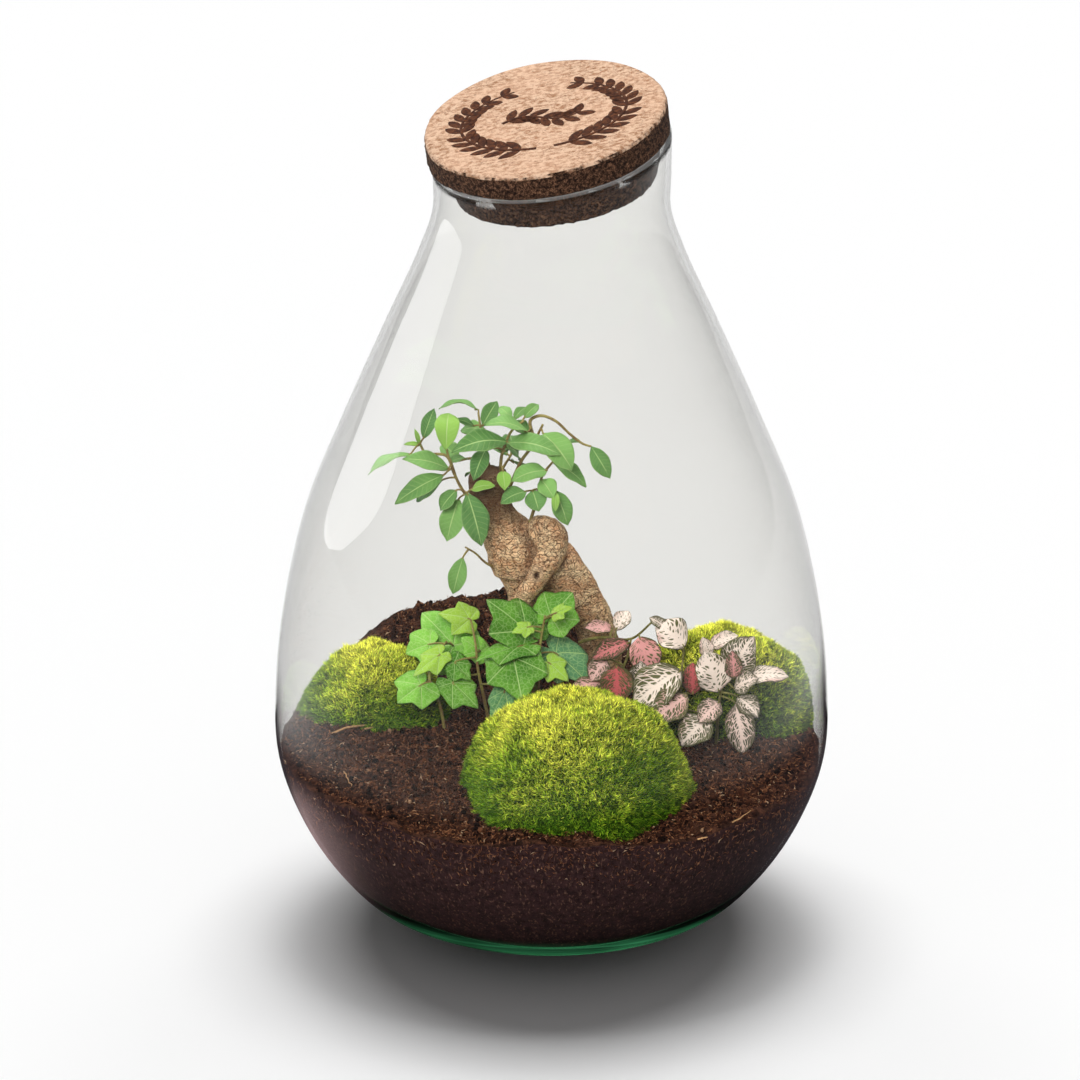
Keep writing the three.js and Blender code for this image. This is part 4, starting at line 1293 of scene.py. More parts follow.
@dataclass
class Soil:
    """Potting soil with loose crumbs, fibres and chips on it."""

    jar: Jar
    level: float = 85.0
    fall: float = 0.02
    hill_bearing: float = 104.0
    hill_rise: float = 29.5
    hill_spread: tuple[float, float] = (12.0, 32.0)
    hill_end: tuple[float, float] = (30.0, 46.0)
    hill_reach: tuple[float, float] = (68.0, 126.0)
    gap: float = 0.7
    crumbs: int = 9500
    fibres: int = 33000
    pressed_slope: float = 0.3
    pressed_depth: float = 26.0
    browns: tuple = (colour(20, 12, 9), colour(66, 40, 28), colour(112, 74, 52), colour(42, 24, 18))
    brown_shares: tuple = (0.36, 0.34, 0.08, 0.22)
    chip: Tint = colour(168, 136, 106)
    chip_share: float = 0.008
    fibre_browns: tuple = (colour(122, 80, 56), colour(168, 120, 86), colour(58, 34, 25),
                           colour(214, 184, 150))
    fibre_shares: tuple = (0.38, 0.16, 0.44, 0.02)
    dry_wood: Tint = colour(190, 152, 108)
    twigs: tuple = (((-104, -6), (-82, 10), 0.6), ((-89, 1), (-81, 9), 0.45),
                    ((-36, -67), (-27, -68), 0.9), ((82, -99), (91, -85), 0.35),
                    ((66, -114), (70, -113), 0.4), ((-96, -44), (-92, -60), 0.3))
    seed: int = 11

    def height(self, x: float, y: float) -> float:
        """The height of the soil's even surface."""
        off = math.degrees(math.atan2(y, x)) - self.hill_bearing
        turn = (off + 540) % 360 - 180
        spread = self.hill_spread[0 if turn < 0 else 1]
        hill = self.hill_rise * math.exp(-0.5 * (turn / spread) ** 2)
        hill *= smoothstep(math.hypot(x, y), *self.hill_reach)
        hill *= 1 - smoothstep(turn, *self.hill_end)
        waves = 2 * math.sin(0.061 * x + 1.3) * math.cos(0.052 * y - 0.4)
        crumbs = 1.1 * math.sin(0.19 * x - 0.08 * y + 2) * math.sin(0.16 * y + 0.7)
        return self.level - self.fall * x + hill + waves + crumbs

    def rough(self, x: float, y: float) -> float:
        """How far lumps and crumbs stand over the even surface."""
        at = Vector((x, y, 0))
        hill = smoothstep(self.height(x, y), self.level + 6, self.level + 20)
        lumps = 1.8 * noise.noise(at * 0.09)
        clods = 2.2 * abs(noise.noise(at * 0.19)) * (1 + 0.8 * hill)
        crumbs = 1.3 * noise.noise(at * 0.42) * (1 + 1.6 * hill)
        grains = 0.9 * noise.noise(at * 0.95) * (1 + hill)
        return lumps + clods + crumbs + grains

    def build_bed(self) -> bpy.types.Object:
        """Spins the bed of soil and roughens its top."""
        wall = float(self.jar.inside_radius(self.level)) - self.gap
        top = [Vector((wall * k / 88, self.level, 0)) for k in range(89)]
        sides = [Vector((p.x - self.gap, p.y + self.gap, 0)) for p in self.jar.inner[::-1]
                 if p.y < self.level - 2]
        form = Form("soil")
        form.turned([*top, *sides[:-1], Vector((0, sides[-1].y, 0))], 300)
        for vert in form.bm.verts:
            x, y, z = vert.co
            reach = math.hypot(x, y)
            if z > self.level - 0.01:
                share = reach / wall
                outward = Vector((x, y)) / max(reach, 1e-6)
                z = self.height(x, y)
                edge = float(self.jar.inside_radius(z)) - self.gap
                x, y = outward * (share * edge) if reach > 0 else (0.0, 0.0)
                calm = 1 - 0.75 * smoothstep(share, 0.985, 1.0)
                vert.co = (x, y, self.height(x, y) + self.rough(x, y) * calm)
            elif z > 20:
                x, y = x / reach, y / reach
                lift = self.height(x * wall, y * wall) - self.level
                z += lift * ((z - 20) / (self.level - 20)) ** 2
                edge = float(self.jar.inside_radius(z)) - self.gap
                vert.co = (x * edge, y * edge, z)
        form.bm.normal_update()
        for face in form.bm.faces:
            pressed = face.normal.z < self.pressed_slope or face.calc_center_median().z < 60
            form.dye((0.0, float(pressed), 0.0, 1.0), [face])
        piece = form.finish("soil_bed", [SOIL])
        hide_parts("soil")
        return piece

    def surface_spots(self, bed: bpy.types.Object, count: int, rng: np.random.Generator,
                      depth: float = 0.0) -> Spots:
        """Places on the open top of the soil and, thinning out downwards, on its pressed side.

        Args:
            bed: The bed of soil.
            count: How many places.
            rng: The seeded random numbers.
            depth: How far below the surface the places on the side reach.

        Returns:
            The places, in millimetres.
        """
        spots = Spots.on(bed.data, count * 3, rng)
        spots.points /= MM
        x, y, z = spots.points.T
        faces_up = spots.normals[:, 2] > self.pressed_slope
        top = (z > 70) & faces_up & (np.hypot(x, y) < 125.5)
        edge = np.array([self.height(*point) for point in zip(x, y)]) - depth * rng.random(len(x)) ** 1.6
        side = ~faces_up & (z > edge) & (depth > 0)
        return spots.kept(top | side).kept(slice(count))

    def build_crumbs(self, bed: bpy.types.Object) -> None:
        """Strews crumbs over the soil."""
        rng = np.random.default_rng(self.seed)
        spots = self.surface_spots(bed, self.crumbs, rng)
        count = len(spots.points)
        stamp = bmesh.new()
        bmesh.ops.create_icosphere(stamp, subdivisions=1, radius=1.0)
        for vert in stamp.verts:
            vert.co *= 1 + 0.35 * noise.noise(vert.co * 2.1)
        sizes = (0.4 + 1.1 * rng.random(count) ** 3)[:, None] * (0.7 + 0.6 * rng.random((count, 3)))
        turns = turned_to(scattered(count, rng), rng.random(count) * math.tau)
        picked = np.array(self.browns)[rng.choice(len(self.browns), count, p=self.brown_shares)]
        picked[rng.random(count) > 1 - self.chip_share] = self.chip
        places = spots.points + spots.normals * sizes[:, :1] * 0.35
        mesh = stamped("soil_crumbs", stamp, places, turns, sizes, even(picked), "crumb",
                       self.jar.kept_inside)
        piece = new_piece("soil_crumbs", mesh, [CRUMBS], smooth=False)

    def build_fibres(self, bed: bpy.types.Object) -> None:
        """Strews bent fibres and root hairs over the soil."""
        rng = np.random.default_rng(self.seed + 1)
        spots = self.surface_spots(bed, self.fibres, rng, self.pressed_depth)
        count = len(spots.points)
        spindle = bmesh.new()
        for end in (1, -1):
            half = Matrix.Diagonal((1, 1, end, 1)) @ Matrix.Translation((0, 0, 0.25))
            bmesh.ops.create_cone(spindle, segments=3, radius1=0.022, radius2=0.0, depth=0.5,
                                  cap_ends=False, matrix=half)
        bmesh.ops.remove_doubles(spindle, verts=list(spindle.verts), dist=1e-4)
        bmesh.ops.recalc_face_normals(spindle, faces=list(spindle.faces))
        for vert in spindle.verts:
            vert.co.x += 0.1 * (0.5 - abs(vert.co.z))
        lengths = 1.3 + 1.6 * rng.random(count) + 5.0 * rng.random(count) ** 14
        flat = unit(np.cross(spots.normals, scattered(count, rng)))
        flat = unit(flat + spots.normals * (0.75 * rng.random((count, 1)) - 0.1))
        thick = 8 + 8 * rng.random(count)
        sizes = np.stack([thick, thick, lengths], axis=1)
        shades = rng.choice(len(self.fibre_browns), count, p=self.fibre_shares)
        picked = np.array(self.fibre_browns)[shades]
        turns = turned_to(flat, rng.random(count) * math.tau)
        mesh = stamped("soil_fibres", spindle, spots.points + spots.normals * 0.55, turns, sizes,
                       even(picked), "crumb", lambda points: self.jar.kept_inside(points, 0.1))
        piece = new_piece("soil_fibres", mesh, [CRUMBS])

    def build_twigs(self) -> None:
        """Lays a few dry twigs and chips on the soil."""
        form = Form("crumb")
        for start, end, thick in self.twigs:
            path = []
            for step in range(7):
                x, y = (mix(a, b, step / 6) for a, b in zip(start, end))
                bend = [noise.noise(Vector((x, y, layer)) * 0.2) for layer in (1, 5)]
                path.append(Vector((x, y, self.height(x, y) + 2 + thick)) + Vector((*bend, 0)) * 1.6)
            form.tube(path, (thick, 0.6 * thick), 6, 0)
        form.dye(self.dry_wood)
        piece = form.finish("soil_twigs", [CRUMBS])

    def build(self) -> None:
        """Builds the bed and what lies on it."""
        bed = self.build_bed()
        self.build_crumbs(bed)
        self.build_fibres(bed)
        self.build_twigs()


# ---------------------------------------------------------------- Moss


@dataclass
class MossCushion:
    """A cushion of moss: a lumpy core, thick with fine blades."""

    name: str
    jar: Jar
    soil: Soil
    centre: tuple[float, float]
    half: tuple[float, float]
    top: float
    lean: float
    phase: float
    fullness: float
    blades: int
    foot: float = 68.0
    columns: int = 96
    rounds: int = 40
    core_green: Tint = colour(34, 50, 14)
    # Tip and root greens, from yellow to dark; the darkest roots, low in the cushion, are partly painted shade.
    tips: tuple = (colour(246, 244, 92), colour(166, 196, 46), colour(90, 136, 28))
    roots: tuple = (colour(92, 100, 18), colour(22, 46, 6), colour(6, 22, 3))

    def at(self, turn: float, share: float) -> Vector:
        """A point of the core, at a bearing and a share of the way from the crown to the foot."""
        lobes = 1 + 0.05 * math.sin(3 * turn + self.phase) + 0.035 * math.sin(5 * turn + 2 * self.phase)
        x = self.centre[0] + self.lean * (1 - share) + self.half[0] * share * lobes * math.cos(turn)
        y = self.centre[1] + self.half[1] * share * lobes * math.sin(turn)
        lumps = 2.2 * math.sin(0.16 * x + self.phase) * math.sin(0.18 * y - self.phase) * (1 - share**6)
        lumps += 1.6 * noise.noise(Vector((x, y, 0)) * 0.11) + 0.8 * noise.noise(Vector((x, y, 9)) * 0.3)
        z = mix(self.foot, self.top, math.sqrt(max(1 - share**self.fullness, 0))) + lumps - 1.5
        return Vector((x, y, z))

    def core(self) -> Form:
        """The core of the cushion, which ends just inside the soil."""
        form = Form("moss")
        radii = [math.sin(0.5 * math.pi * step / self.rounds) for step in range(self.rounds + 1)]
        profile = [Vector((radius, 1, 0)) for radius in radii]
        form.turned([*profile, Vector((0.5, 0, 0)), Vector((0, 0, 0))], self.columns)
        for vert in form.bm.verts:
            share, turn = min(math.hypot(vert.co.x, vert.co.y), 1.0), math.atan2(vert.co.y, vert.co.x)
            point = self.at(turn, share)
            ground = self.soil.height(point.x, point.y) - 1.5
            point.z = max(point.z, ground) if vert.co.z > 0.5 else ground - 1
            inside = self.jar.kept_inside(np.array([point]), 1.2)[0]
            vert.co = Vector(inside)
        form.dye(self.core_green)
        form.bm.normal_update()
        return form

    def build(self, seed: int) -> None:
        """Builds the core and covers it with blades, each a thin three-sided spike.

        Args:
            seed: The seed of its random draws.
        """
        rng = np.random.default_rng(seed)
        form = self.core()
        piece = form.finish(self.name + "_cushion", [MOSS])
        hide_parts(self.name)
        spots = Spots.on(piece.data, int(self.blades * 1.7), rng)
        spots.points /= MM
        ground = np.array([self.soil.height(x, y) for x, y, _ in spots.points])
        free = (spots.points[:, 2] > ground - 0.5) & (spots.normals[:, 2] > -0.2)
        spots = spots.kept(free).kept(slice(self.blades))
        count = len(spots.points)
        stamp = bmesh.new()
        bmesh.ops.create_cone(stamp, segments=3, radius1=1.0, radius2=0.0, depth=1.0, cap_ends=False,
                              matrix=Matrix.Translation((0, 0, 0.5)))
        bmesh.ops.remove_doubles(stamp, verts=list(stamp.verts), dist=1e-4)
        clump = np.array([noise.noise(Vector(point) * 0.30) + 0.8 * noise.noise(Vector(point) * 0.75)
                          for point in spots.points])
        lean = scattered(count, rng) * (0.55 + 0.35 * rng.random((count, 1)))
        directions = unit(spots.normals + lean + np.array([[0, 0, 0.2]]))
        lengths = (1.9 + 1.5 * rng.random(count)) * (1 + 0.5 * clump)
        widths = 0.26 + 0.14 * rng.random(count)
        sizes = np.stack([widths, widths, lengths], axis=1)
        turns = turned_to(directions, rng.random(count) * math.tau)
        tips, roots = self.shades(spots, clump, rng)

        def paint(heights: np.ndarray) -> np.ndarray:
            share = np.clip(heights, 0, 1)[None, :, None]
            return roots[:, None, :] * (1 - share) + tips[:, None, :] * share

        mesh = stamped(self.name + "_blades", stamp, spots.points - directions * 0.4, turns, sizes, paint,
                       "moss", self.jar.kept_inside)
        blades = new_piece(self.name + "_blades", mesh, [MOSS])

    def shades(self, spots: Spots, clump: np.ndarray, rng: np.random.Generator) -> tuple:
        """The colours of the blades' tips and roots: yellow on top and in patches, darker low down, partly the
        moss's own colour and partly painted shade.

        Args:
            spots: Where the blades stand.
            clump: The lumpiness there.
            rng: The seeded random numbers.

        Returns:
            The tips' colours and the roots' colours.
        """
        low, high = spots.points[:, 2].min(), spots.points[:, 2].max()
        height = (spots.points[:, 2] - low) / (high - low)
        shift = Vector((self.phase, 0, 0))
        patch = np.array([noise.noise(Vector(point) * 0.05 + shift) for point in spots.points])
        chance = 0.24 * rng.normal(size=len(patch))
        yellow = np.clip(height * 1.1 - 0.1 + 0.5 * patch + 0.25 * clump + chance, 0, 1)
        place = yellow * 2
        lower = np.minimum(place.astype(int), 1)
        share = (place - lower)[:, None]
        # Random brightness for each blade's tip, partly painted highlights and shade.
        light = 0.85 * np.exp(0.65 * rng.normal(size=len(patch)) + 0.6 * clump)
        light = np.clip(light, 0.12, 2.6)[:, None] * np.array([[1, 1, 1, 0]])
        light[:, 3] = 1
        tips, roots = np.array(self.tips[::-1]), np.array(self.roots[::-1])
        return ((tips[lower] * (1 - share) + tips[lower + 1] * share) * light,
                roots[lower] * (1 - share) + roots[lower + 1] * share)


# ---------------------------------------------------------------- Leaves


@dataclass(frozen=True)
class Kind:
    """How the leaves of one plant are shaped."""

    finish: Finish
    stem: Finish
    slot: Slot
    arch: float
    thick: float
    outline: tuple
    lobed: bool = False
    fold: float = 0.22
    wave: float = 0.05
    facing: float = 40.0
    cells: tuple[int, int] = (10, 22)
    plump: tuple[float, float] = (1.0, 1.0)


FICUS_KIND = Kind(FICUS, FICUS_TWIG, Slot.FICUS, 0.1, 0.35,
                  ((0, 0.05), (0.06, 0.26), (0.22, 0.74), (0.5, 1), (0.8, 0.64), (0.93, 0.24), (1, 0.02)))
IVY_KIND = Kind(IVY, IVY_STEM, Slot.IVY, 0.2, 0.4,
                ((0, 1), (30, 0.78), (56, 0.90), (84, 0.73), (112, 0.74), (152, 0.52), (180, 0.16)),
                lobed=True, cells=(96, 8))
FITTONIA_KIND = Kind(FITTONIA, FITTONIA_STEM, Slot.FITTONIA, 0.08, 0.4,
                     ((0, 0.1), (0.1, 0.5), (0.26, 0.88), (0.45, 1), (0.66, 0.9), (0.86, 0.55), (1, 0.04)),
                     wave=0.08, plump=(1.18, 1.22))


@dataclass
class Leaf:
    """One leaf of a stem: where its blade starts and ends, how wide it is and how it faces."""

    kind: Kind
    base: Vector
    tip: Vector
    width: float
    facing: float
    arch: float
    tint: Tint
    phase: float

    def __post_init__(self) -> None:
        """Works out the directions of the blade."""
        reach = self.tip - self.base
        self.length = reach.length
        self.along = reach.normalized()
        lean = math.radians(self.facing)
        face = Vector((0, -math.sin(lean), math.cos(lean)))
        self.across = self.along.cross(face).normalized()
        self.normal = self.across.cross(self.along)

    def simple(self, wide: float, far: float) -> Vector:
        """A point of an undivided blade, from its shares across and along."""
        shares, halves = OUTLINES[self.kind.finish.name]
        half = float(np.interp(far, shares, halves)) * self.width / 2
        side = wide * 2 - 1
        lift = self.arch * self.length * math.sin(math.pi * far)
        lift += self.kind.fold * half * abs(side) ** 1.4
        ripple = math.sin(11 * far + self.phase + 1.5 * side)
        lift += self.kind.wave * self.width * ripple * side * side
        droop = 0.05 * self.length * far**3
        return (self.base + self.along * (far * self.length) + self.across * (side * half)
                + self.normal * (lift - droop))

    def lobed(self, wide: float, far: float) -> Vector:
        """A point of an ivy blade, from its share round the stalk's end and its share outwards."""
        turn = wide * 360 - 180
        uneven = 1 + 0.05 * math.sin(2 * math.radians(turn) + self.phase)
        reach = lobe_reach(abs(turn)) ** (1 + 1.1 * self.tint[1]) * uneven * max(far, 0.004)
        widest = max(share * math.sin(math.radians(angle)) for angle, share in self.kind.outline)
        forward = reach * math.cos(math.radians(turn)) * self.length
        sideways = reach * math.sin(math.radians(turn)) * self.width / 2 / widest
        ribs = min(abs(abs(turn) - angle) for angle in IVY_LOBES)
        lift = -self.arch * self.length * reach**2
        lift += 0.0042 * self.length * reach * min(ribs, 20)
        lift += 0.5 * math.sin(math.radians(turn) * 5 + self.phase) * reach**2
        return self.base + self.along * forward + self.across * sideways + self.normal * lift

    def add_to(self, form: Form, stems: list[list[Vector]]) -> None:
        """Adds the blade and its stalk to a stem's form.

        Args:
            form: The form of the stem.
            stems: The points of its twigs.
        """
        shape = self.lobed if self.kind.lobed else self.simple
        form.sheet(self.kind.cells, shape, self.kind.thick, self.tint)
        spot = min((p for stem in stems for p in stem[1:-1]), key=lambda p: (p - self.base).length)
        heel = self.base + self.along * (0.10 * self.length)
        if self.kind.lobed:
            heel -= self.normal * 0.25
        middle = (spot + self.base) / 2 + Vector((0, 0, 0.06 * (spot - self.base).length))
        if (spot - self.base).length > 1.2:
            form.tube(smooth_path([spot, middle, self.base, heel], 3), (0.55, 0.45, 0.42), 6, 1)


def lobe_reach(turn: float) -> float:
    """How far an ivy blade reaches at an angle from its tip, with a point at each lobe."""
    knots = IVY_KIND.outline
    upper = next((k for k in range(1, len(knots)) if knots[k][0] >= turn), len(knots) - 1)
    (a0, r0), (a1, r1) = knots[upper - 1], knots[upper]
    share = (turn - a0) / (a1 - a0)
    if r1 < r0:
        return mix(r1, r0, (1 - share) ** 1.1)
    return mix(r0, r1, share**1.1)


OUTLINES = {kind.finish.name: tuple(zip(*((p.x, p.y) for p in smooth_path(kind.outline, 6))))
            for kind in (FICUS_KIND, FITTONIA_KIND)}


@dataclass
class LeafyStem:
    """A stem or twig with its leaves, which stands for one node of the frame.

    A leaf's row holds its base, its tip, its width and, where they differ from its kind's, how far it faces
    forward and its arch.
    """

    node: str
    kind: Kind
    stems: list
    leaves: list
    thick: float = 0.9
    young: tuple[int, ...] = ()
    hues: dict[int, float] = field(default_factory=dict)

    def build(self, seed: int) -> None:
        """Builds the stem and its leaves as one piece.

        Args:
            seed: The seed of its random draws.
        """
        rng = np.random.default_rng(seed)
        form = Form("leaf")
        paths = [smooth_path(points, 6) for points in self.stems]
        for path in paths:
            form.tube(path, (self.thick, self.thick * 0.6), 8, 1)
        for number, row in enumerate(self.leaves):
            facing = row[7] if len(row) > 7 else self.kind.facing
            arch = row[8] if len(row) > 8 else self.kind.arch
            youth = 0.75 if number in self.young else 0.12 * rng.random()
            tint = (0.25 + 0.6 * rng.random(), youth, self.hues.get(number, 0.1 * rng.random()), 1.0)
            longer, wider = self.kind.plump
            base, tip = Vector(row[0:3]), Vector(row[3:6])
            Leaf(self.kind, base, base.lerp(tip, longer), row[6] * wider, facing, arch, tint,
                 6.0 * rng.random()).add_to(form, paths)
        piece = form.finish(self.node + "_grown", [self.kind.finish, self.kind.stem])
        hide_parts(self.node)


FICUS_TWIGS = [
    LeafyStem(
        "ficus_spray_left", FICUS_KIND,
        [[(-35, 50, 185), (-42, 48, 194), (-46, 46, 203), (-49, 44, 213), (-50, 43, 218)],
         [(-46, 46, 203), (-50, 50, 211), (-60, 49, 213), (-63, 48, 219)]],
        [(-67, 41, 215, -87, 32, 209, 9, 0), (-49, 43, 207, -70, 36, 215, 10),
         (-51, 40, 205, -74, 29, 195, 10, 50), (-52, 50, 199, -65, 54, 187, 8),
         (-50, 42, 217, -49, 56, 231, 12, 40, 0.3), (-61, 50, 220, -56, 56, 233, 7, 60),
         (-48, 49, 208, -40, 56, 208, 8, 0), (-63, 48, 218, -65, 46, 226, 2.4),
         (-62, 48, 217, -70, 45, 219, 2.4)],
        young=(4, 7, 8)),
    LeafyStem(
        "ficus_spray_top", FICUS_KIND,
        [[(-28, 55, 193), (-30, 58, 204), (-33, 60, 212), (-34, 62, 221), (-35, 64, 228)],
         [(-30, 58, 204), (-38, 61, 206), (-45, 63, 204)]],
        [(-35, 65, 229, -54, 64, 231, 9, -5, 0.16), (-37, 62, 222, -46, 61, 226, 4),
         (-33, 62, 222, -26, 70, 232, 8, 60), (-32, 66, 219, -44, 74, 216, 8),
         (-45, 63, 205, -53, 72, 210, 9)]),
    LeafyStem(
        "ficus_spray_centre", FICUS_KIND,
        [[(-24, 50, 193), (-24, 50, 209), (-22, 49, 217), (-19, 51, 223), (-13, 52, 228)]],
        [(-21, 47, 219, -47, 35, 219, 13, 35, 0.13), (-21, 46, 219, 4, 37, 217, 12, 30, 0.1),
         (-19, 54, 228, -25, 61, 232, 6), (-18, 54, 228, -12, 61, 232, 5), (-13, 53, 229, -6, 59, 234, 6),
         (-23, 43, 206, -22, 36, 199, 7), (-31, 46, 216, -37, 36, 204, 9), (-22, 54, 212, -23, 67, 208, 9),
         (-22, 55, 214, -15, 66, 204, 10)],
        young=(5,)),
    LeafyStem(
        "ficus_spray_right", FICUS_KIND,
        [[(-20, 54, 194), (-14, 53, 208), (-10, 52, 214), (-7, 52, 220), (-4, 52, 226)],
         [(-8, 52, 218), (-10, 55, 227), (-5, 56, 229), (2, 54, 227), (9, 52, 221), (15, 50, 217), (19, 49, 216)]],
        [(19, 49, 216, 28, 44, 202, 9, 70), (14, 50, 218, 8, 55, 217, 3), (-4, 48, 223, 10, 39, 208, 14, 45, 0.14),
         (-11, 47, 224, -31, 40, 231, 12, 15), (-10, 57, 219, -19, 64, 224, 7), (-9, 57, 214, 4, 66, 211, 9)]),
    LeafyStem(
        "ficus_spray_low_right", FICUS_KIND,
        [[(-12, 49, 172), (-8, 48, 186), (-6, 48, 195), (-4, 49, 202), (1, 51, 208)],
         [(-5, 48, 199), (-1, 46, 199), (2, 44, 196)]],
        [(-2, 46, 205, -19, 38, 203, 11, 30), (1, 52, 207, 17, 50, 196, 9, 30), (-5, 45, 201, 1, 39, 194, 10),
         (2, 42, 196, 2, 37, 188, 4, 60), (-9, 43, 196, -6, 37, 188, 11), (-12, 42, 196, -24, 35, 193, 9),
         (2, 46, 195, 8, 42, 179, 10, 60)],
        young=(3,)),
    LeafyStem(
        "ficus_spray_low_left", FICUS_KIND,
        [[(-34, 45, 187), (-39, 41, 194), (-43, 40, 198)]],
        [(-40, 37, 197, -33, 30, 173, 13.5), (-44, 43, 192, -50, 39, 172, 12, 50),
         (-45, 41, 197, -53, 38, 188, 8), (-38, 39, 198, -27, 34, 202, 6)],
        young=(3,)),
    LeafyStem(
        "ficus_spray_back", FICUS_KIND,
        [[(-27, 56, 190), (-24, 65, 198), (-19, 74, 204)]],
        [(-18, 75, 205, -4, 88, 200, 11, 0), (-21, 73, 204, -36, 88, 203, 11, 0),
         (-19, 71, 201, -10, 84, 189, 10, 0), (-19, 76, 205, -20, 92, 208, 9, 0),
         (-26, 67, 198, -42, 76, 193, 10, 0)]),
    LeafyStem(
        "ficus_shoot_side", FICUS_KIND,
        [[(-23, 45, 155), (-31, 41, 160), (-36, 38, 166), (-41, 36, 170)]],
        [(-42, 36, 165, -47, 34, 147, 9, 55)], thick=0.7),
]

IVY_STEMS = [
    LeafyStem(
        "ivy_left", IVY_KIND,
        [[(-50, 17, 74), (-53, 14, 97), (-58, 14, 112), (-55, 20, 121), (-50, 30, 124)]],
        [(-58, 32, 122, -70, 28, 120, 19), (-53, 18, 122, -65, 10, 116, 15), (-62, 11, 109, -73, 2, 105, 20),
         (-47, 38, 119, -62, 46, 135, 29)],
        young=(1,), hues={3: 0.35, 0: 0.3}),
    LeafyStem(
        "ivy_middle", IVY_KIND,
        [[(-28, 24, 74), (-32, 22, 97), (-35, 22, 113), (-36, 24, 124), (-38, 36, 131)]],
        [(-47, 14, 109, -35, 4, 102, 17), (-39, 42, 131, -53, 40, 136, 20), (-22, 4, 109, -29, -4, 98, 12),
         (-46, 18, 118, -38, 12, 112, 12), (-34, 28, 120, -42, 28, 127, 13)],
        young=(1,), hues={2: 0.7}),
    LeafyStem(
        "ivy_right", IVY_KIND,
        [[(-9, 18, 74), (-8, 15, 99), (-6, 15, 117), (-5, 16, 130), (-3, 18, 142)]],
        [(-12, 16, 135, -29, 16, 152, 24), (-15, 11, 129, -37, 5, 127, 12, 20), (-18, 9, 124, -14, -5, 110, 30),
         (0, 21, 140, 9, 25, 151, 24), (2, 13, 145, 9, 10, 150, 9), (-11, 13, 138, -18, 8, 138, 10),
         (-1, 12, 120, 8, 7, 114, 16), (2, 20, 122, 18, 11, 112, 22), (-15, 6, 107, -10, -3, 103, 10)],
        young=(4, 5, 6), hues={7: 1.0}),
]

FITTONIA_STEMS = [
    LeafyStem(
        "fittonia_left", FITTONIA_KIND,
        [[(34, 20, 74), (33, 18, 96), (32, 16, 109), (36, 19, 120), (38, 26, 127)],
         [(13, 29, 124), (23, 28, 127), (38, 26, 127), (48, 30, 134)]],
        [(29, 32, 130, 18, 28, 132, 6), (31, 31, 130, 36, 37, 136, 7), (37, 21, 127, 22, 16, 122, 9),
         (42, 23, 129, 46, 16, 116, 13), (26, 17, 120, 20, 11, 113, 9), (31, 11, 119, 31, 2, 106, 13),
         (42, 12, 109, 42, 12, 119, 9), (24, 12, 110, 11, 7, 109, 7)],
        young=(0, 1, 3), hues={0: 0.5, 2: 0.85, 3: 0.6, 4: 0.45, 5: 1.0, 7: 0.5}),
    LeafyStem(
        "fittonia_middle", FITTONIA_KIND,
        [[(62, 6, 74), (62, 4, 99), (61, 6, 108), (62, 12, 118), (63, 17, 125)]],
        [(61, 2, 120, 42, -3, 107, 18), (64, -6, 110, 50, -12, 102, 14), (67, 5, 107, 67, 9, 119, 9),
         (63, 16, 127, 52, 20, 136, 14), (55, 21, 134, 48, 21, 139, 5), (74, -11, 101, 63, -19, 93, 14)],
        young=(3,), hues={1: 0.45, 2: 1.0}),
    LeafyStem(
        "fittonia_right", FITTONIA_KIND,
        [[(78, 0, 74), (79, -1, 99), (80, -1, 110), (82, -1, 119), (78, 2, 128)]],
        [(79, -4, 112, 73, -2, 128, 15), (75, 8, 130, 86, 8, 135, 7), (74, 5, 126, 72, 6, 134, 6),
         (85, 1, 118, 93, 0, 135, 15), (86, -5, 119, 85, -6, 131, 7), (86, -6, 114, 95, -9, 120, 10),
         (92, -4, 119, 108, -10, 122, 8), (88, -4, 109, 96, -10, 103, 9), (79, -8, 108, 71, -15, 102, 10),
         (87, -8, 107, 90, -14, 88, 12)],
        young=(0, 1, 2, 6), hues={4: 0.65, 5: 0.3, 8: 0.4, 9: 0.35}),
]


# ---------------------------------------------------------------- Trunk


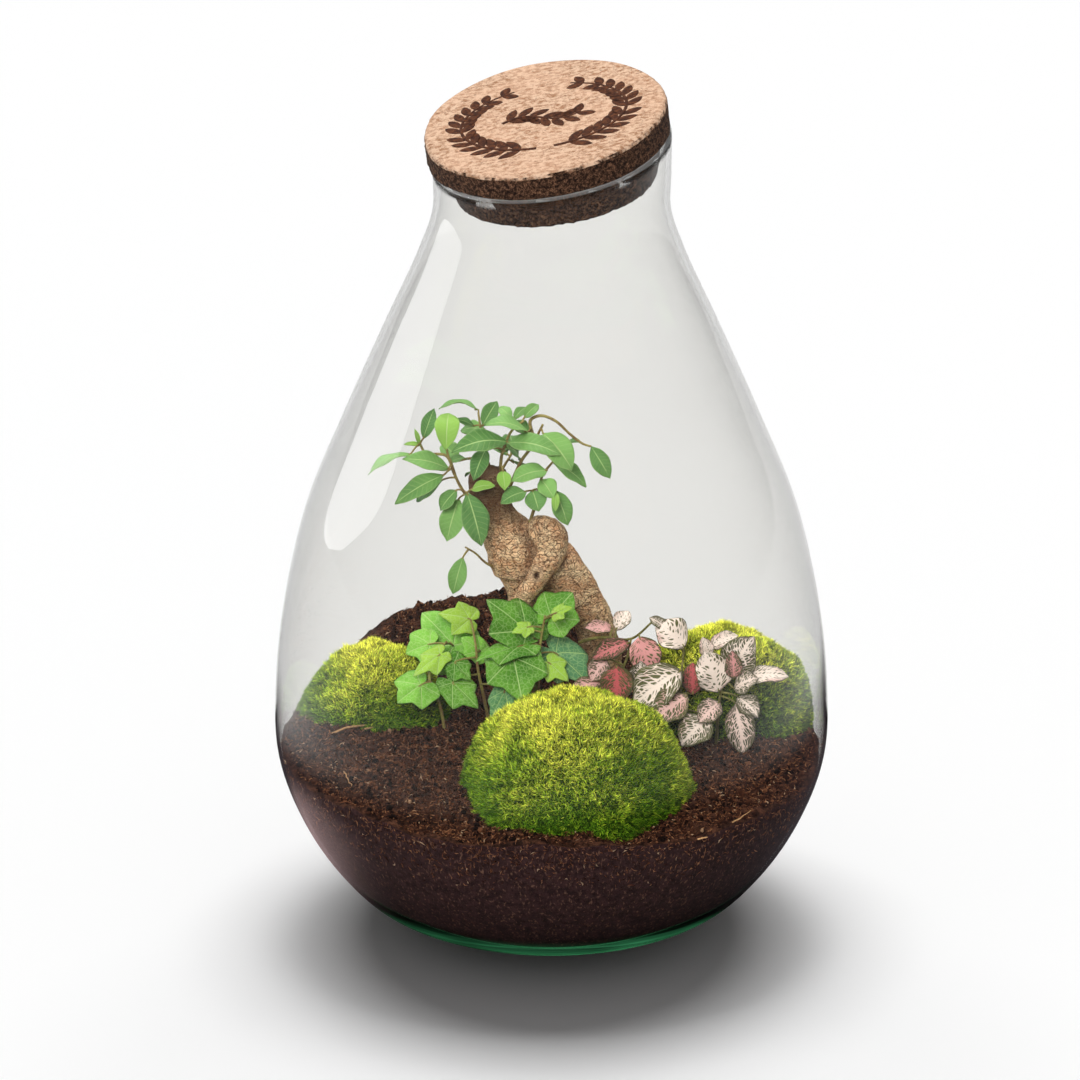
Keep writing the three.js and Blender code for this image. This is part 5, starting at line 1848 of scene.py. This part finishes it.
@dataclass
class Trunk:
    """The ficus's swollen trunk: a cut stump, a bulb, a curled root over its front, and two legs."""

    limbs: tuple = (
        (((-30.5, 50, 203), (-29.5, 50, 190), (-24.5, 50, 177), (-17, 50, 165), (-12.5, 50, 154), (-12.5, 49, 143),
          (-13, 48, 128), (-14, 48, 108), (-15, 48, 76)), (9.2, 9.6, 10.2, 15.5, 15, 9, 7.6, 8, 10)),
        (((-8, 50, 166), (2, 50, 156), (12, 50, 143), (20, 50, 128), (24, 50, 110), (27, 50, 76)),
         (12.2, 12, 10.2, 9.4, 9.6, 10.6)),
        (((-8, 46, 172), (-1.2, 41.5, 173), (-0.8, 38, 166), (-6.2, 33, 157), (-12.5, 30.5, 148), (-17, 30, 141)),
         (9.0, 9.4, 7.6, 5.4, 4.5, 3.4)),
    )
    voxel: float = 0.75
    scar: Point = (-7.4, 27.6, 159.0)
    scar_radius: float = 1.9

    def creases(self, points: np.ndarray) -> np.ndarray:
        """How near each point is to where the curled root meets the other limbs, from 0 to 1."""
        depths = []
        for middle, radii in self.limbs:
            path = np.array(smooth_path(middle, 6))
            thick = np.interp(np.linspace(0, len(radii) - 1, len(path)), np.arange(len(radii)), radii)
            away = np.linalg.norm(points[:, None, :] - path[None], axis=2) - thick[None]
            depths.append(away.min(axis=1))
        body = np.minimum(depths[0], depths[1])
        return np.exp(-((body / 1.7) ** 2) - (depths[2] / 1.7) ** 2)

    def build(self) -> None:
        """Joins the limbs into one skin, smooths it and works the bark into it."""
        form = Form("bark")
        for points, radii in self.limbs:
            form.tube(smooth_path(points, 6), radii, 24, 0)
        piece = form.finish("ficus_trunk_bark", [BARK])
        skin = piece.modifiers.new("skin", "REMESH")
        skin.mode, skin.voxel_size = "VOXEL", self.voxel * MM
        relax = piece.modifiers.new("relax", "SMOOTH")
        relax.factor, relax.iterations = 0.5, 5
        settle(piece)
        form = Form("bark")
        form.bm.from_mesh(piece.data)
        form.bm.normal_update()
        bmesh.ops.scale(form.bm, vec=(1 / MM,) * 3, verts=list(form.bm.verts))
        scar = Vector(self.scar)
        paint = form.bm.loops.layers.float_color.get("bark")
        creases = self.creases(np.array([vert.co for vert in form.bm.verts]))
        rings = []
        for vert, crease in zip(form.bm.verts, creases):
            at = vert.co
            ring = (at - scar).length / self.scar_radius
            rings.append(ring)
            lumps = 0.9 * noise.noise(at * 0.09) + 0.45 * noise.noise(at * 0.25)
            wrinkles = 0.22 * noise.noise(Vector((at.x * 0.5, at.y * 0.5, at.z * 1.4)))
            lip = 0.7 * math.exp(-((ring - 1.5) ** 2) * 3) - 1.4 * math.exp(-(ring**2) * 1.2)
            vert.co = at + vert.normal * (lumps + wrinkles + lip - 1.5 * crease)
        form.bm.verts.index_update()
        for face in form.bm.faces:
            for loop in face.loops:
                ring, crease = rings[loop.vert.index], creases[loop.vert.index]
                hole_shade, lip = math.exp(-(ring**2) * 1.1), math.exp(-((ring - 1.6) ** 2) * 4)
                # The hole and the creases get painted shade in the bark's material.
                loop[paint] = (min(hole_shade * 1.3, 1.0), lip, crease, 1)
        bmesh.ops.scale(form.bm, vec=(MM,) * 3, verts=list(form.bm.verts))
        form.bm.to_mesh(piece.data)
        form.bm.free()
        piece.data.polygons.foreach_set("use_smooth", [True] * len(piece.data.polygons))
        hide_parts("ficus_trunk")


# ---------------------------------------------------------------- Studio


@dataclass(frozen=True)
class LampFinish(Finish):
    """A glowing sheet, brighter towards its front."""

    back: float
    front: float
    half: float

    def write(self, nodes: Nodes) -> None:
        """Writes the material's nodes."""
        across = nodes.axes(nodes.place())[0]
        strength = nodes.ramp(across, -self.half, self.half, self.back, self.front)
        nodes.end(nodes.add("Emission", {0: WHITE, 1: strength}))


@dataclass
class Softbox:
    """A soft lamp with round ends that faces the jar and only shows in its glass.

    Its `cut` takes that share of its width off one lower corner, in a curve.
    """

    name: str
    place: Point
    size: tuple[float, float]
    roll: float
    glow: tuple[float, float]
    aim: Point = (0.0, 0.0, 0.25)
    squareness: float = 3.2
    cut: float = 0.0

    def build(self) -> None:
        """Hangs the lamp."""
        half = [side / 2 for side in self.size]
        bm = bmesh.new()
        bmesh.ops.create_circle(bm, cap_ends=True, radius=1.0, segments=64)
        for vert in bm.verts:
            x, y = (math.copysign(abs(at) ** (2 / self.squareness), at) for at in vert.co.xy)
            x -= self.cut * max(-y, 0.0) ** 2 * max(x, 0.0)
            vert.co = (x * half[0], y * half[1], 0.0)
        mesh = new_mesh(self.name, bm)
        mesh.materials.append(LampFinish(self.name, *self.glow, half[0]).material())
        lamp = bpy.data.objects.new(self.name, mesh)
        lamp.location = self.place
        turn = (Vector(self.aim) - Vector(self.place)).to_track_quat("-Z", "Y").to_matrix()
        lamp.rotation_euler = (turn @ Matrix.Rotation(math.radians(self.roll), 3, "Z")).to_euler()
        lamp.visible_camera = lamp.visible_diffuse = False
        lamp.visible_shadow = lamp.visible_transmission = False
        bpy.context.scene.collection.objects.link(lamp)


@dataclass
class Sun:
    """A wide and soft light that no glass mirrors, on everything or only on the terrarium's pieces."""

    name: str
    source: Point
    strength: float
    width: float
    spares_floor: bool = False

    def build(self, pieces: bpy.types.Collection) -> None:
        """Hangs the light.

        Args:
            pieces: The pieces of the terrarium.
        """
        data = bpy.data.lights.new(self.name, "SUN")
        data.energy = self.strength
        data.angle = math.radians(self.width)
        lamp = bpy.data.objects.new(self.name, data)
        lamp.rotation_euler = (-Vector(self.source)).to_track_quat("-Z", "Y").to_euler()
        lamp.visible_glossy = lamp.visible_transmission = False
        if self.spares_floor:
            lamp.light_linking.receiver_collection = pieces
        bpy.context.scene.collection.objects.link(lamp)


@dataclass
class Studio:
    """The pale floor, the soft light and the camera."""

    elevation: float = 20.0
    distance: float = 2.2
    lens: float = 156.87
    aim: Point = (-0.0054, 0.0, 0.186)
    floor_size: float = 14.0
    sky: float = 0.98
    fill: float = 0.20
    mirrored: float = 0.75
    boxes: tuple[Softbox, ...] = (
        Softbox("lamp_left", (-1.1, 0.40, 0.42), (0.92, 0.46), 20, (3.2, 7.0), cut=0.9),
    )
    suns: tuple[Sun, ...] = (
        Sun("top_light_left", (-0.2, 0.5, 1.0), 1.48, 38.0),
        Sun("top_light_right", (0.2, 0.5, 1.0), 1.48, 38.0),
        Sun("front_light", (-0.3, -0.9, 0.75), 3.05, 36.0, spares_floor=True),
    )

    def build(self) -> None:
        """Builds the camera, the floor, the world and the lamps."""
        scene = bpy.context.scene
        scene.view_settings.view_transform = "Standard"
        tilt = math.radians(self.elevation)
        back = Vector((0, -math.cos(tilt), math.sin(tilt)))
        data = bpy.data.cameras.new("camera")
        data.lens, data.sensor_width = self.lens, 36.0
        data.clip_end = 50.0
        camera = bpy.data.objects.new("camera", data)
        camera.location = Vector(self.aim) + back * self.distance
        camera.rotation_euler = (-back).to_track_quat("-Z", "Y").to_euler()
        scene.collection.objects.link(camera)
        scene.camera = camera
        bm = bmesh.new()
        bmesh.ops.create_grid(bm, x_segments=1, y_segments=1, size=self.floor_size / 2)
        mesh = new_mesh("floor", bm)
        mesh.materials.append(FloorFinish("floor").material())
        floor = bpy.data.objects.new("floor", mesh)
        scene.collection.objects.link(floor)
        world = bpy.data.worlds.new("studio")
        world.use_nodes = True
        nodes = Nodes(world.node_tree)
        diffuse = nodes.add("LightPath").outputs["Is Diffuse Ray"]
        lit = nodes.ramp(diffuse, 0.0, 1.0, self.sky, self.fill)
        mirrored = nodes.times(nodes.outer_mirror_share(), self.mirrored)
        lit = nodes.ramp(nodes.mirror_share(), 0.0, 1.0, lit, mirrored)
        background = nodes.add("Background", {0: WHITE, 1: lit})
        nodes.add("OutputWorld", {"Surface": background.outputs[0]})
        scene.world = world
        for box in self.boxes:
            box.build()

    def light(self) -> None:
        """Hangs the main lights, once every piece is there."""
        staged = {"floor", *(box.name for box in self.boxes)}
        pieces = bpy.data.collections.new("terrarium_pieces")
        for item in bpy.context.scene.objects:
            if item.type == "MESH" and item.name not in staged:
                pieces.objects.link(item)
        for sun in self.suns:
            sun.build(pieces)


# ---------------------------------------------------------------- The whole terrarium


def write_sizes() -> None:
    """Brings the scene's view layer up to date."""
    bpy.context.view_layer.update()


def moss_cushions(jar: Jar, soil: Soil) -> Iterable[MossCushion]:
    """The three cushions of moss."""
    yield MossCushion("moss_front", jar, soil, (10, -69), (53, 48), 135, 2, 0.4, 2.5, 60000)
    yield MossCushion("moss_left", jar, soil, (-87, 36), (38, 35), 120, 5, 2.1, 2.0, 34000)
    yield MossCushion("moss_right", jar, soil, (87, 38), (46, 37), 125.5, -14, 4.0, 3.0, 42000)


def main() -> None:
    """Builds the studio and every piece of the terrarium."""
    logging.basicConfig(level=logging.INFO, format="%(name)s %(message)s")
    studio = Studio()
    studio.build()
    jar = Jar()
    jar.build()
    Cork(jar).build()
    soil = Soil(jar)
    soil.build()
    for number, cushion in enumerate(moss_cushions(jar, soil)):
        cushion.build(40 + number)
    Trunk().build()
    for number, stem in enumerate([*FICUS_TWIGS, *IVY_STEMS, *FITTONIA_STEMS]):
        stem.build(70 + number)
    studio.light()


if __name__ == "__main__":
    main()
    write_sizes()
